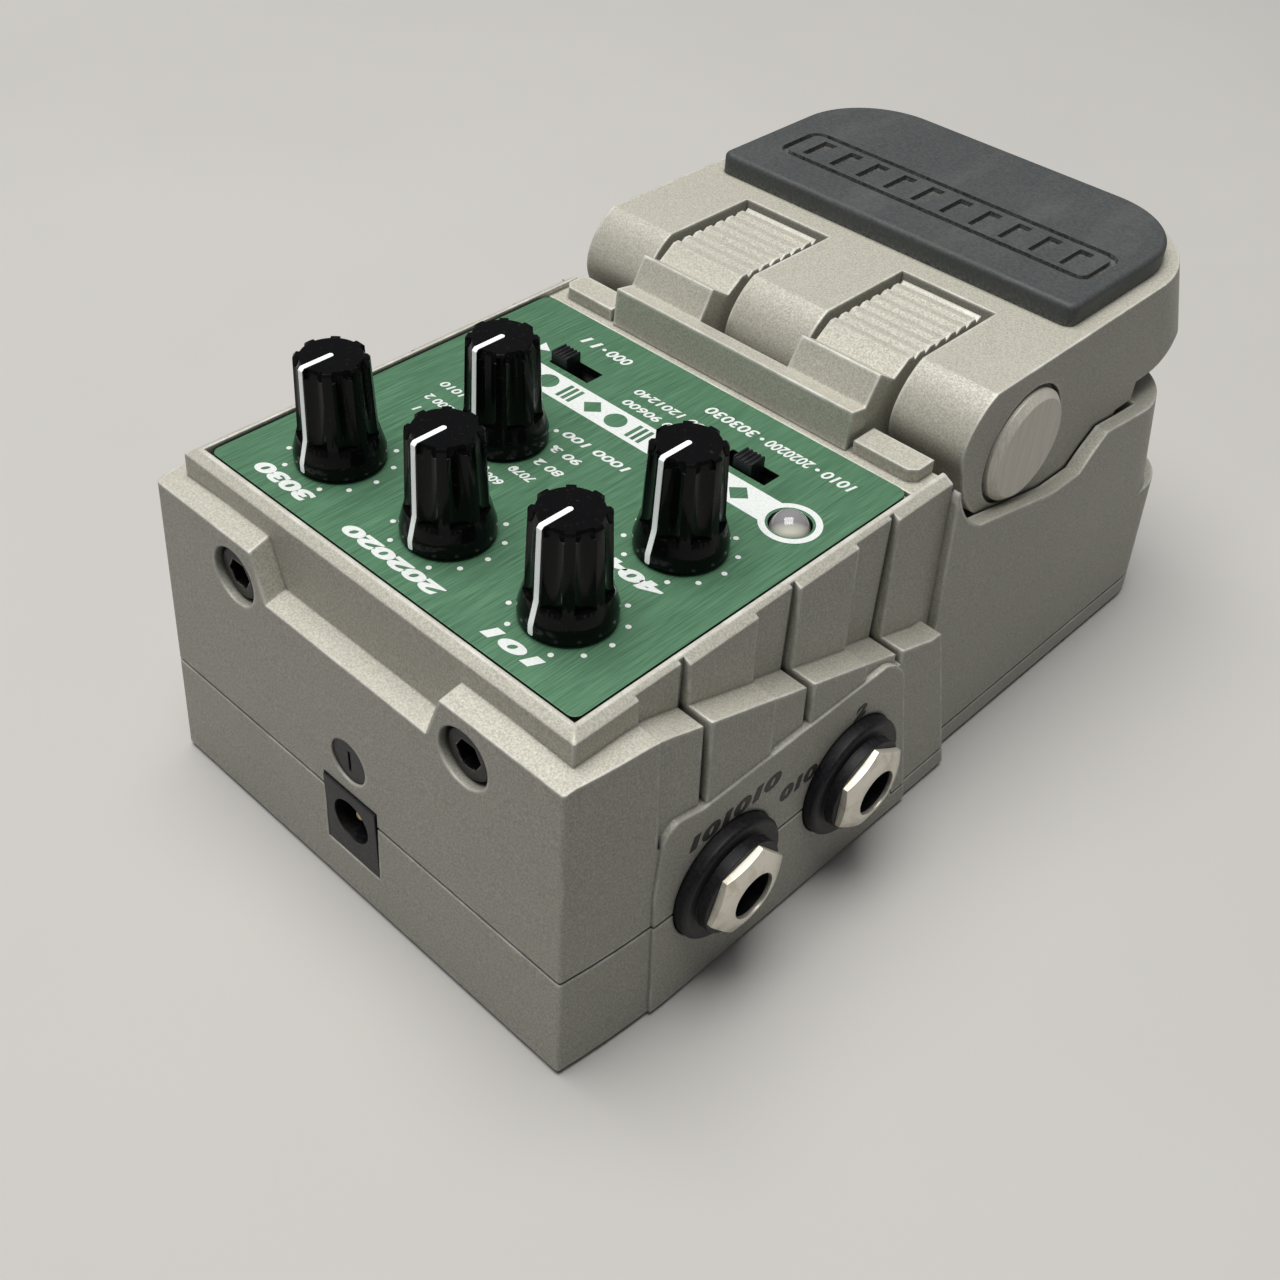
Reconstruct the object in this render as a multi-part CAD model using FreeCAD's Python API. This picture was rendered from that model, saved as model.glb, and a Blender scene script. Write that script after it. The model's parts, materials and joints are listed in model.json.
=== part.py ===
import FreeCAD, Part
import math
import os

# Delay pedal with a rocking footplate. Millimetres.
# X runs across, +Y points to the end with the power socket, +Z is up.
# Heights are counted from the underside of the casing. Every finished
# piece is lifted by FOOT_PROUD, so that the rubber feet stand on Z = 0.
# A distance named BACK_TO_... is counted forwards from the back face.

# Casing
LENGTH = 136.0
CORNER_HALF_WIDTH = 37.6
BOW = 1.57
BOW_RUN = 20.0
CRADLE_SET_BACK = 2.63
DRAFT = 0.037
CORNER_RADIUS = 0.5
SIDE_WALL = 3.0
CRADLE_WALL = 2.5
FLOOR = 2.5
FOOT_PROUD = 0.8
PARTING_HEIGHT = 16.0
PARTING_GAP = 0.45
FRONT_PARTING_HEIGHT = 3.5
BACK_TO_PARTING_DROP = 57.0
PARTING_DROP_RUN = 4.0
LIP_HEIGHT = 1.5
LIP_THICKNESS = 1.0
FLANK_RUN_ON = 9.0
FLANK_FLARE = 4.0
CRADLE_RUN_BACK = 5.0
BACK_TO_LOW_ROOM_END = 56.0
DECK_WALL = 1.3
TOWER_BACK_WALL = 2.55
TOWER_SIDE_WALL = 1.6

# Knob tower, its rim and the shelf around it
RIM_TOP = 49.05
RIM_MARGIN = 4.15
BACK_TO_RIM = 4.95
BACK_TO_RIM_END = 69.3
RIM_STEP = 0.55
RIM_BEVEL_WIDTH = 1.3
RIM_BEVEL_HEIGHT = 0.8
SHELF_HEIGHT = 45.0
SHELF_SLOPE = 0.335
SHELF_BEND_AT = 14.3
SHELF_BEND_RUN = 3.0
SHELF_END_AT = 65.2
SHELF_TILT = 0.04
BACK_SHELF_DROP = 0.7
BACK_SHELF_TILT = 0.25
SHELF_STEP = 0.6
LEDGE_HEIGHT = 37.7
LEDGE_HALF_WIDTH = 14.4
LEDGE_SLANT = 3.8
PLATE_STEP = 0.4
ARMOUR_STEP = 0.5
ARMOUR = [(14.2, 21.9), (33.0, 40.1), (50.8, 58.4)]
GROOVE_WIDTH = 0.8
GROOVE_DEPTH = 0.9
PANEL_LEAN = 0.255
BACK_TO_PANEL_END = 67.2
PANEL_END_HEIGHT = 27.8
SOCKET_PANEL_TOP = 30.2
SOCKET_PANEL = [(13.7, -1.0), (13.7, 21.0), (14.6, 28.6), (15.5, 30.1), (17.2, 31.0),
                (21.0, SOCKET_PANEL_TOP), (54.6, SOCKET_PANEL_TOP), (57.8, 28.2), (59.6, 23.6), (64.8, -1.0)]

# Cradle that the footplate rocks in, and the heel
POCKET_FLOOR = 31.5
POCKET_SKIN = 2.5
FRONT_TO_POCKET = 18.0
CRADLE_DECK = 38.0
CRADLE_EDGE = [(69.3, 47.6), (71.4, 43.2), (76.0, 39.3), (94.2, 35.2), (101.0, 35.1), (103.6, 37.2),
               (107.0, 39.3), (113.0, 38.6), (119.0, CRADLE_DECK)]
FRONT_TO_CRADLE = 6.5
CRADLE_SLOPE = 0.224
CRADLE_CORNER = 12.0
HEEL_HEIGHT = 21.0
FRONT_TO_HEEL = 1.5
HEEL_CORNER = 9.7

# Faceplate
PLATE_MARGIN = 2.15
BACK_TO_PLATE = 7.1
BACK_TO_PLATE_END = 63.2
PLATE_TOP = 48.8
PLATE_THICKNESS = 1.2
PLATE_GAP = 0.45
PLATE_BACK_RADIUS = 1.2
PLATE_FRONT_RADIUS = 1.5
DECK_SKIN = 2.0
FRONT_DECK = 48.3
PAD_TOP = 50.1
PAD_INNER = 21.0
PAD_OUTER = 30.3
BACK_TO_PAD = 65.2
PAD_BEVEL = 1.0
PAD_ROOT = 1.0

# Knobs and the shafts that they turn: name, place across, distance from the back
KNOB_PLACES = [
    ("mix", -19.4, 17.75),
    ("repeat", 0.1, 17.75),
    ("time", 19.7, 17.75),
    ("modulation", -19.6, 35.35),
    ("mode", 9.8, 35.05),
]
KNOB_RADIUS = 5.58
KNOB_HEIGHT = 14.1
KNOB_SKIRT_HEIGHT = 4.6
KNOB_BODY_RADIUS = 4.75
KNOB_TOP_RADIUS = 4.4
KNOB_CAP_RADIUS = 3.7
KNOB_RIBS = 8
KNOB_RIB_WIDTH = 1.1
KNOB_FLUTE_DEPTH = 0.47
KNOB_FLUTE_RADIUS = 2.2
KNOB_FLUTE_RUN = 0.6
KNOB_EDGE = 0.4
KNOB_RIB_BEVEL = 0.3
KNOB_CROWN_HEIGHT = 1.2
KNOB_CROWN_FOOT = 4.1
KNOB_RIM_HEIGHT = 1.2
KNOB_LIFT = 0.2
SHAFT_RADIUS = 3.0
SHAFT_BITE = 9.0
POT_WIDTH = 9.5
POT_HEIGHT = 6.5
POT_COLLAR_RADIUS = 3.4
POT_FLOOR = 1.5
RUNNING_GAP = 0.05

# Lamp
LAMP_X = -25.4
BACK_TO_LAMP = 47.9
LAMP_RADIUS = 2.5
LAMP_FLANGE = 2.9
LAMP_TOP = 50.3
LAMP_FLANGE_SINK = 1.0
LAMP_FLANGE_HEIGHT = 1.0
LAMP_SPACER_WALL = 1.4

# Slide switches: middle of each slot, travel each way
BACK_TO_SLIDES = 52.8
SLIDE_SLOT_WIDTH = 2.9
SLIDE_CLEARANCE = 0.2
SLIDE_DECK_MARGIN = 0.6
TOGGLE_LENGTH = 2.9
TOGGLE_WIDTH = 2.6
TOGGLE_RISE = 1.65
TOGGLE_RIBS = 5
TOGGLE_RIB_DEPTH = 0.2
SLIDE_BODY_WIDTH = 5.0
SLIDE_BODY_HEIGHT = 5.0
SLIDE_BODY_MARGIN = 2.5
SLIDE_BODY_FLOOR = 1.5
THREE_WAY_X = -14.7
THREE_WAY_TRAVEL = 2.1
TWO_WAY_X = 15.2
TWO_WAY_TRAVEL = 1.9

# Side sockets
SOCKET_HEIGHT = 16.0
BACK_TO_MONO_OUT = 25.5
BACK_TO_RIGHT_OUT = 49.0
BACK_TO_INPUT = 25.5
SOCKET_BORE = 3.25
SOCKET_THREAD = 4.65
SOCKET_STANDS_OUT = 5.2
SOCKET_DEPTH = 30.5
SOCKET_SEAT_STEP = 0.6
SOCKET_WIDTH = 14.0
SOCKET_TOP = 23.0
SOCKET_END_WALL = 1.5
FIT_GAP = 0.15
WASHER_RADIUS = 8.55
WASHER_STEP_RADIUS = 6.5
WASHER_FLANGE = 2.0
WASHER_STEP = 1.45
WASHER_BEVEL = 0.4
WASHER_SINK_DEPTH = 5.0
NUT_ACROSS_FLATS = 11.0
NUT_DOME = 1.05
NUT_LIP = 0.6
NUT_LIP_RADIUS = 3.65
NUT_TURNS = [48.0, 32.5, 20.0]

# Power socket and blanking plug on the back face
POWER_HALF_WIDTH = 4.93
POWER_BOTTOM = 6.4
POWER_TOP = 18.0
POWER_BORE_HEIGHT = 13.0
POWER_BORE = 3.2
POWER_DEPTH = 9.5
POWER_BODY_LENGTH = 13.5
POWER_PIN = 1.0
POWER_PIN_SHORT = 1.2
POWER_PROUD = 0.15
POWER_ROOM = 15.0
PLUG_HEIGHT = 23.2
PLUG_RADIUS = 3.2
PLUG_SLIT = 0.35
PLUG_DEPTH = 3.0
PLUG_SUNK = 0.2
PLUG_SLIT_DEPTH = 0.5

# Back screws
BACK_SCREW_X = 20.46
BACK_SCREW_HEIGHT = 39.0
BACK_SCREW_SINK = 3.95
BACK_SCREW_HEAD = 3.5
BACK_SCREW_SINK_DEPTH = 4.2
BACK_SCREW_SHANK = 2.0
BACK_SCREW_KEY = 1.73
BACK_SCREW_KEY_FLOOR = 1.2
BACK_SCREW_BELOW_FACE = 0.8
BACK_SCREW_ROUND = 0.4
BRACKET_THICKNESS = 1.5
BRACKET_HALF_WIDTH = 24.0
BRACKET_REACH = 9.0
BRACKET_TOP_GAP = 1.5

# Circuit boards
BOARD_THICKNESS = 1.6
MAIN_BOARD_MARGIN = 4.7
BACK_TO_MAIN_BOARD = 9.5
BACK_TO_MAIN_BOARD_END = 63.5
STANDOFF_RADIUS = 2.5
STANDOFF_INSET = 3.0
BACK_TO_STANDOFFS = [28.0, 60.0]
SMALL_SCREW = 1.0
SMALL_SCREW_HEAD = 1.9
SMALL_SCREW_HEAD_HEIGHT = 1.3
SMALL_SCREW_BITE = 3.0
STANDOFF_BORE = 4.0
SOCKET_BOARD_MARGIN = 4.6
BACK_TO_SOCKET_BOARD = 14.0
BACK_TO_SOCKET_BOARD_END = 60.0
BOARD_TONGUE_MARGIN = 2.0
BACK_TO_TONGUE = 5.0
LINK_LENGTH = 18.0
LINK_WIDTH = 5.0
BACK_TO_LINK = 38.0
CHIP_PLACES = [(-14.0, 50.0), (14.0, 50.0), (16.0, 24.0)]
CHIP_SIZE = 10.0
CHIP_HEIGHT = 2.0
CAN_PLACES = [(-20.0, 24.0), (-12.0, 24.0), (-4.0, 24.0), (4.0, 24.0)]
CAN_RADIUS = 3.0
CAN_HEIGHT = 8.0

# Hinge block between the tower and the footplate
HINGE_HALF_WIDTH = 20.2
KNUCKLE_INNER = 7.5
KNUCKLE_OUTER = 20.1
BACK_TO_CROSS_WALL = 64.8
CROSS_WALL_TOP = 53.7
CROSS_WALL_DRAFT = 0.5
CROSS_WALL_FRONT = (68.1, 53.2)
CROSS_WALL_FOOT = 68.4
KNUCKLE_HUMP = [(70.3, 57.0), (73.5, 55.0)]
BACK_TO_KNUCKLE_END = 91.8
RIB_COUNT = 8
RIB_TIP = 56.85
RIB_VALLEY = 56.2
RIB_FLAT_SHARE = 0.45
RIB_RISE_SHARE = 0.15
BACK_TO_RIBS = 76.1
HINGE_SCREW = 2.0
HINGE_SCREW_INSET = 4.5
HINGE_SCREW_BITE = 6.0
HINGE_SCREW_HEAD = 3.6
HINGE_SCREW_HEAD_HEIGHT = 2.2
TIE_LENGTH = 9.0
TIE_HEIGHT = 2.0

# Footplate and its hinge
BACK_TO_HINGE = 86.5
HINGE_HEIGHT = 45.6
PIN_RADIUS = 3.0
PIN_RUNNING_GAP = 0.03
BUSH_RADIUS = 5.0
BORE_CLEARANCE = 0.6
FOOTPLATE_MARGIN = 4.95
FOOTPLATE_TOP = 57.25
FOOTPLATE_SKIN = 2.5
BACK_TO_FOOTPLATE = 77.1
SLOT_INNER = 6.35
SLOT_OUTER = 21.35
BACK_TO_SLOT_END = 93.1
FOOTPLATE_BOTTOM = 42.0
FOOTPLATE_KNUCKLE = [(74.4, 55.3), (72.7, 52.9), (72.0, 50.3), (72.7, 47.3), (76.0, 40.8), (83.4, 35.7)]
FOOTPLATE_HEEL = [(86.5, 34.2), (106.0, 34.2), (111.8, 35.6), (112.6, 39.1), (117.0, 39.1)]
FOOTPLATE_LEVELS = [(42.0, 3.2, 12.5), (42.3, 2.05, 12.25), (42.9, 1.1, 12.0), (43.8, 0.4, 11.9),
                    (45.0, 0.0, 11.8), (57.25, 1.8, 18.0)]
CAP_RADIUS = 7.9
CAP_SINK = 1.0
CAP_SINK_RADIUS = 8.5
CAP_STANDS_OUT = 1.25
CAP_BEVEL = 0.9
CAP_NECK = 5.0
CAP_NECK_LENGTH = 5.0
TRAVEL_DEGREES = 4.0
HOLLOW_BACK_CORNER = 1.0
SWITCH_BOSS_RADIUS = 4.0

# Rubber pad on the footplate
TREAD_THICKNESS = 3.05
TREAD_MARGIN = 2.55
BACK_TO_TREAD = 97.0
FRONT_TO_TREAD = 5.8
TREAD_CORNER = 13.0
TREAD_FRONT_CORNER = 1.5
TREAD_BEVEL = 0.8
FRAME_X = -1.0
FRONT_TO_FRAME = 27.3
FRAME_HALF_LENGTH = 26.5
FRAME_HALF_WIDTH = 4.8
FRAME_CORNER = 2.2
FRAME_LINE = 1.0
FRAME_DEPTH = 0.7
GRIP_BARS = 10
GRIP_BAR_WIDTH = 2.2
GRIP_BAR_INSET = 2.0

# Foot switch, stops and springs under the footplate
FRONT_TO_SWITCH = 30.0
SWITCH_WIDTH = 14.0
SWITCH_BODY_HEIGHT = 7.5
SWITCH_COLLAR = 5.9
SWITCH_COLLAR_TOP = 35.0
SWITCH_NUT_FLATS = 14.0
SWITCH_NUT_HEIGHT = 2.0
PLUNGER_RADIUS = 3.0
PLUNGER_TOP = 41.0
PLUNGER_BEVEL = 0.6
PLUNGER_ROOM = 4.0
MOVING_GAP = 0.3
STOP_X = 19.0
FRONT_TO_STOP = 14.5
STOP_RADIUS = 3.0
STOP_HEIGHT = 1.3
STOP_SEAT = 0.8
STOP_BOSS_RADIUS = 3.8
SPRING_X = 15.0
FRONT_TO_SPRING = 30.0
SPRING_RADIUS = 4.0
SPRING_WIRE = 1.2
SPRING_PEG = 6.0

# Battery bay
BATTERY_LENGTH = 48.5
BATTERY_WIDTH = 26.5
BATTERY_HEIGHT = 17.5
FRONT_TO_BATTERY = 8.5
BATTERY_ROOM = 0.3
BAY_WALL = 1.5
BAY_HEIGHT = 12.0
BATTERY_ROUND = 1.5
SNAP_INSET = 1.0
TERMINAL_PITCH = 12.7
TERMINAL_RADIUS = 2.9
TERMINAL_LENGTH = 2.6
SNAP_THICKNESS = 4.0
SNAP_HEIGHT = 12.0
DOOR_THICKNESS = 1.8
DOOR_PIN_RADIUS = 0.8
DOOR_PIN_LENGTH = 1.5
DOOR_GRIP_WIDTH = 12.0
DOOR_GRIP_DEPTH = 0.6
DOOR_GRIP_SET = 1.0
DOOR_LIFT = 0.4

# Feet and casing screws
FOOT_RADIUS = 5.0
FOOT_SEAT = 0.5
BACK_FOOT_INSET = 8.6
FRONT_FOOT_INSET = 11.1
BACK_TO_FEET = 10.5
FRONT_TO_FEET = 8.0
SCREW_INSET = 6.6
FRONT_SCREW_INSET = 7.6
BACK_TO_SCREWS = [37.25, 72.0]
FRONT_TO_SCREW = 18.0
BOSS_RADIUS = 3.0
SCREW_RADIUS = 1.5
SCREW_HEAD = 2.9
SCREW_HEAD_HEIGHT = 1.6
SCREW_HEAD_SINK = 0.1
SCREW_LENGTH = 12.0

# Heights and places that follow from the sizes above
RIGHT = FreeCAD.Vector(1, 0, 0)
BACKWARD = FreeCAD.Vector(0, 1, 0)
UP = FreeCAD.Vector(0, 0, 1)
ORIGIN = FreeCAD.Vector(0, 0, 0)
HALF_LENGTH = LENGTH / 2
HALF_WIDTH = CORNER_HALF_WIDTH + BOW
CRADLE_HALF_WIDTH = HALF_WIDTH - CRADLE_SET_BACK
FAR = LENGTH
RIM_HALF_WIDTH = CORNER_HALF_WIDTH - RIM_MARGIN
PLATE_HALF_WIDTH = RIM_HALF_WIDTH - PLATE_MARGIN
PLATE_HALF = CORNER_HALF_WIDTH - FOOTPLATE_MARGIN
CAP_FACE = PLATE_HALF + CAP_STANDS_OUT
TREAD_HALF_WIDTH = PLATE_HALF - TREAD_MARGIN
SOCKET_SEAT = CORNER_HALF_WIDTH + SOCKET_SEAT_STEP
NUT_FACE = SOCKET_SEAT + SOCKET_STANDS_OUT
NUT_THICKNESS = SOCKET_STANDS_OUT - WASHER_FLANGE - WASHER_STEP
SOCKET_FACE = NUT_FACE - NUT_LIP
MAIN_BOARD_HALF_WIDTH = RIM_HALF_WIDTH - MAIN_BOARD_MARGIN
STANDOFF_X = MAIN_BOARD_HALF_WIDTH - STANDOFF_INSET
SOCKET_BOARD_HALF_WIDTH = CORNER_HALF_WIDTH - SOCKET_BOARD_MARGIN
TOGGLE_TOP = PLATE_TOP + TOGGLE_RISE
BACK_TO_POCKET_END = LENGTH - FRONT_TO_POCKET
BACK_TO_CRADLE_END = LENGTH - FRONT_TO_CRADLE
BACK_TO_HEEL_END = LENGTH - FRONT_TO_HEEL
BACK_TO_BATTERY_END = LENGTH - FRONT_TO_BATTERY
DECK_TOP = PLATE_TOP - PLATE_THICKNESS
DECK_BOTTOM = DECK_TOP - DECK_SKIN
MAIN_BOARD_TOP = DECK_BOTTOM - POT_HEIGHT
MAIN_BOARD_BOTTOM = MAIN_BOARD_TOP - BOARD_THICKNESS
SOCKET_BOARD_TOP = POWER_BOTTOM
SOCKET_BOARD_BOTTOM = SOCKET_BOARD_TOP - BOARD_THICKNESS
LOW_ROOM_TOP = PANEL_END_HEIGHT - DECK_WALL
POCKET_BOTTOM = POCKET_FLOOR - POCKET_SKIN
POCKET_HALF_WIDTH = PLATE_HALF + MOVING_GAP
TRAVEL = math.radians(TRAVEL_DEGREES)


def at(x, y, z):
    return FreeCAD.Vector(x, y, z)


def from_back(distance):
    return HALF_LENGTH - distance


def from_front(distance):
    return distance - HALF_LENGTH


HINGE_Y = from_back(BACK_TO_HINGE)
STOP_Y = from_front(FRONT_TO_STOP)
SWITCH_Y = from_front(FRONT_TO_SWITCH)
SPRING_Y = from_front(FRONT_TO_SPRING)
FRAME_Y = from_front(FRONT_TO_FRAME)
LAMP_Y = from_back(BACK_TO_LAMP)
SLIDE_Y = from_back(BACK_TO_SLIDES)
MONO_OUT_Y = from_back(BACK_TO_MONO_OUT)
RIGHT_OUT_Y = from_back(BACK_TO_RIGHT_OUT)
INPUT_Y = from_back(BACK_TO_INPUT)
SOCKET_BOARD_BACK_Y = from_back(BACK_TO_SOCKET_BOARD)
SOCKET_BOARD_FRONT_Y = from_back(BACK_TO_SOCKET_BOARD_END)
LINK_Y = from_back(BACK_TO_LINK)
KNOBS = [(name, x, from_back(back)) for name, x, back in KNOB_PLACES]
TOWER_ROOM_BACK = from_back(BACK_TO_RIM) - TOWER_BACK_WALL
TOWER_ROOM_FRONT = from_back(BACK_TO_RIM_END) + CRADLE_WALL
TOWER_ROOM_HALF = RIM_HALF_WIDTH - RIM_STEP - TOWER_SIDE_WALL


def box(x0, x1, y0, y1, z0, z1):
    return Part.makeBox(x1 - x0, y1 - y0, z1 - z0, at(x0, y0, z0))


def rod(x, y, z, radius, height, axis=UP):
    return Part.makeCylinder(radius, height, at(x, y, z), axis)


def cone(x, y, z, bottom_radius, top_radius, height, axis=UP):
    return Part.makeCone(bottom_radius, top_radius, height, at(x, y, z), axis)


def joined(shapes):
    return shapes[0].multiFuse(shapes[1:]).removeSplitter()


def grouped(shapes):
    return Part.makeCompound(shapes)


def both_sides(shape):
    return [shape, shape.mirror(ORIGIN, RIGHT)]


def flat(z):
    return lambda x, y: at(x, y, z)


def upright(x):
    return lambda y, z: at(x, y, z)


def outline(place, start, steps):
    # Each step is (end,) for a line or (middle, end) for an arc.
    edges = []
    here = place(*start)
    for step in steps:
        there = place(*step[-1])
        if len(step) == 1:
            edges.append(Part.LineSegment(here, there).toShape())
        else:
            edges.append(Part.Arc(here, place(*step[0]), there).toShape())
        here = there
    return Part.Wire(edges)


def ring(place, points):
    steps = [(point,) for point in points[1:]]
    steps.append((points[0],))
    return outline(place, points[0], steps)


def extruded(wire, direction):
    return Part.Face(wire).extrude(direction)


def across(points, x0, x1):
    return extruded(ring(upright(x0), points), at(x1 - x0, 0, 0))


def tapered(low, high):
    return Part.makeLoft([low, high], True, True)


def back_to(points):
    return [(from_back(distance), height) for distance, height in points]


def mirrored_places(x, places):
    return [(side * x, y) for y in places for side in (-1, 1)]


def foot_places():
    back = mirrored_places(CORNER_HALF_WIDTH - BACK_FOOT_INSET, [from_back(BACK_TO_FEET)])
    return back + mirrored_places(CORNER_HALF_WIDTH - FRONT_FOOT_INSET, [from_front(FRONT_TO_FEET)])


def screw_places():
    back = mirrored_places(CORNER_HALF_WIDTH - SCREW_INSET, [from_back(place) for place in BACK_TO_SCREWS])
    return back + mirrored_places(CORNER_HALF_WIDTH - FRONT_SCREW_INSET, [from_front(FRONT_TO_SCREW)])


def hexagon(x, y, z, flats, height, axis, corner_turn=0.0):
    radius = flats / math.sqrt(3)
    side = BACKWARD if abs(axis.x) > 0.5 else RIGHT
    turn = FreeCAD.Rotation(axis, 60)
    spoke = FreeCAD.Rotation(RIGHT, corner_turn).multVec(side * radius)
    corners = []
    for step in range(6):
        corners.append(at(x, y, z) + spoke)
        spoke = turn.multVec(spoke)
    corners.append(corners[0])
    return Part.Face(Part.makePolygon(corners)).extrude(axis * height)


# Casing outlines

def bow_plan(z, grow):
    shift = grow - DRAFT * z
    corner = CORNER_HALF_WIDTH + shift
    wide = HALF_WIDTH + shift
    middle = wide - BOW / 4
    back = HALF_LENGTH + min(grow + PLATE_STEP, 0.0) - DRAFT * z
    rounded = CORNER_RADIUS * (1 - math.sqrt(0.5))
    bowed = from_back(BOW_RUN)
    between = (back - CORNER_RADIUS + bowed) / 2
    front = from_back(BACK_TO_PANEL_END) - FLANK_RUN_ON
    return outline(flat(z), (corner - CORNER_RADIUS, back), [
        ((corner - rounded, back - rounded), (corner, back - CORNER_RADIUS)),
        ((middle, between), (wide, bowed)),
        ((wide, front),),
        ((-wide, front),),
        ((-wide, bowed),),
        ((-middle, between), (-corner, back - CORNER_RADIUS)),
        ((-corner + rounded, back - rounded), (-corner + CORNER_RADIUS, back)),
        ((corner - CORNER_RADIUS, back),),
    ])


def cradle_plan(z, wall, back, end, corner):
    half = CRADLE_HALF_WIDTH - wall - DRAFT * z
    front = from_back(end) + wall
    radius = corner - wall
    rounded = radius * (1 - math.sqrt(0.5))
    return outline(flat(z), (-half, from_back(back)), [
        ((half, from_back(back)),),
        ((half, front + radius),),
        ((half - rounded, front + rounded), (half - radius, front)),
        ((-half + radius, front),),
        ((-half + rounded, front + rounded), (-half, front + radius)),
        ((-half, from_back(back)),),
    ])


def tower_plan(z, inset=0.0):
    lean = DRAFT * (RIM_TOP - z) - inset
    half = RIM_HALF_WIDTH + lean
    back = from_back(BACK_TO_RIM) + lean
    front = from_back(BACK_TO_RIM_END)
    return ring(flat(z), [(-half, front), (half, front), (half, back), (-half, back)])


def heel_end(z):
    return BACK_TO_HEEL_END + DRAFT * (HEEL_HEIGHT - z)


def cradle_end(z):
    return BACK_TO_CRADLE_END + CRADLE_SLOPE * (CRADLE_DECK - z)


def bowed_block(low, high, grow):
    return tapered(bow_plan(low, grow), bow_plan(high, grow))


def shelf_profile(x, lower):
    # Side view of the bowed flank: shelf on top, leaning front edge.
    lift = SHELF_TILT * (CORNER_HALF_WIDTH - x) - lower
    top = SHELF_HEIGHT + lift
    bend_end = top - SHELF_SLOPE * SHELF_BEND_RUN
    bend_middle = top - SHELF_SLOPE * SHELF_BEND_RUN / 4
    low_end = top - SHELF_SLOPE * (SHELF_END_AT - SHELF_BEND_AT)
    foot = BACK_TO_PANEL_END + PANEL_LEAN * (PANEL_END_HEIGHT + 1.0)
    nose = low_end - (SHELF_HEIGHT - SHELF_SLOPE * (SHELF_END_AT - SHELF_BEND_AT) - PANEL_END_HEIGHT)
    points = back_to([(-2.0, -1.0), (-2.0, top), (SHELF_BEND_AT - SHELF_BEND_RUN, top),
                      (SHELF_BEND_AT, bend_middle), (SHELF_BEND_AT + SHELF_BEND_RUN, bend_end),
                      (SHELF_END_AT, low_end), (BACK_TO_PANEL_END, nose), (foot, -1.0)])
    return outline(upright(x), points[0], [
        (points[1],), (points[2],), (points[3], points[4]), (points[5],), (points[6],), (points[7],),
        (points[0],),
    ])


def flank_space(lower):
    right = tapered(shelf_profile(0.0, lower), shelf_profile(HALF_WIDTH + FLANK_FLARE, lower))
    return joined(both_sides(right))


def socket_panel():
    # Flat panel round the side sockets, proud of the plates above it.
    corners = back_to(SOCKET_PANEL)
    wire = outline(upright(-HALF_WIDTH), corners[0], [
        (corners[1],), (corners[2],), (corners[3], corners[4]), (corners[5],), (corners[6],),
        (corners[7], corners[8]), (corners[9],), (corners[0],),
    ])
    return extruded(wire, at(2 * HALF_WIDTH, 0, 0))


def back_shelf_cut():
    outer = from_back(-1.0)
    inner = from_back(BACK_TO_RIM + RIM_BEVEL_WIDTH)
    rise = BACK_SHELF_TILT * (outer - inner)
    low = SHELF_HEIGHT - BACK_SHELF_DROP - BACK_SHELF_TILT
    above = across([(outer, low), (inner, low + rise), (inner, RIM_TOP + 1), (outer, RIM_TOP + 1)],
                   -HALF_WIDTH - 1, HALF_WIDTH + 1)
    slant = LEDGE_HALF_WIDTH + LEDGE_SLANT

    def trough(y, floor):
        return ring(lambda x, z: at(x, y, z), [(-slant, RIM_TOP), (-LEDGE_HALF_WIDTH, floor),
                                               (LEDGE_HALF_WIDTH, floor), (slant, RIM_TOP)])

    ledge = tapered(trough(outer, LEDGE_HEIGHT), trough(inner, LEDGE_HEIGHT + rise))
    return above.fuse(ledge)


def armour_cuts(flank):
    # Overlapping plates: each segment steps in and ends at a groove.
    low = SOCKET_PANEL_TOP - 2.0
    tower_step = tapered(tower_plan(low), tower_plan(RIM_TOP + 1))
    narrow = tower_step.copy().common(box(-RIM_HALF_WIDTH + RIM_STEP, RIM_HALF_WIDTH - RIM_STEP,
                                          -FAR, FAR, low, RIM_TOP + 2))
    plate = bowed_block(0.0, RIM_TOP, -PLATE_STEP - ARMOUR_STEP).common(flank_space(SHELF_STEP))
    deep = bowed_block(0.0, RIM_TOP, -PLATE_STEP - ARMOUR_STEP - GROOVE_DEPTH)
    deep = deep.common(flank_space(SHELF_STEP + GROOVE_DEPTH))
    keep_plate = joined([narrow, plate])
    inner = RIM_HALF_WIDTH - RIM_STEP - GROOVE_DEPTH / 2
    keep_deep = joined([box(-inner, inner, -FAR, FAR, low, RIM_TOP + 2), deep])
    cuts = []
    for start, end in ARMOUR:
        step = box(-HALF_WIDTH - 1, HALF_WIDTH + 1, from_back(end), from_back(start), low, RIM_TOP + 1)
        cuts.append(step.cut(keep_plate))
        middle = from_back(end - GROOVE_WIDTH / 2)
        groove = box(-HALF_WIDTH - 1, HALF_WIDTH + 1, middle - GROOVE_WIDTH / 2,
                     middle + GROOVE_WIDTH / 2, low, RIM_TOP + 1)
        cuts.append(groove.cut(keep_deep))
    return joined(cuts).cut(socket_panel())


def above_cradle():
    # Everything over the top edge of the cradle's side walls.
    points = back_to([(BACK_TO_RIM_END, RIM_TOP + 2)] + CRADLE_EDGE +
                     [(LENGTH + 2, CRADLE_DECK), (LENGTH + 2, RIM_TOP + 2)])
    wire = outline(upright(-HALF_WIDTH), points[0], [
        (points[1],), (points[2], points[3]), (points[4],), (points[5],), (points[6],), (points[7],),
        (points[8],), (points[9],), (points[10],), (points[11],), (points[0],),
    ])
    return extruded(wire, at(2 * HALF_WIDTH, 0, 0))


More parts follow.
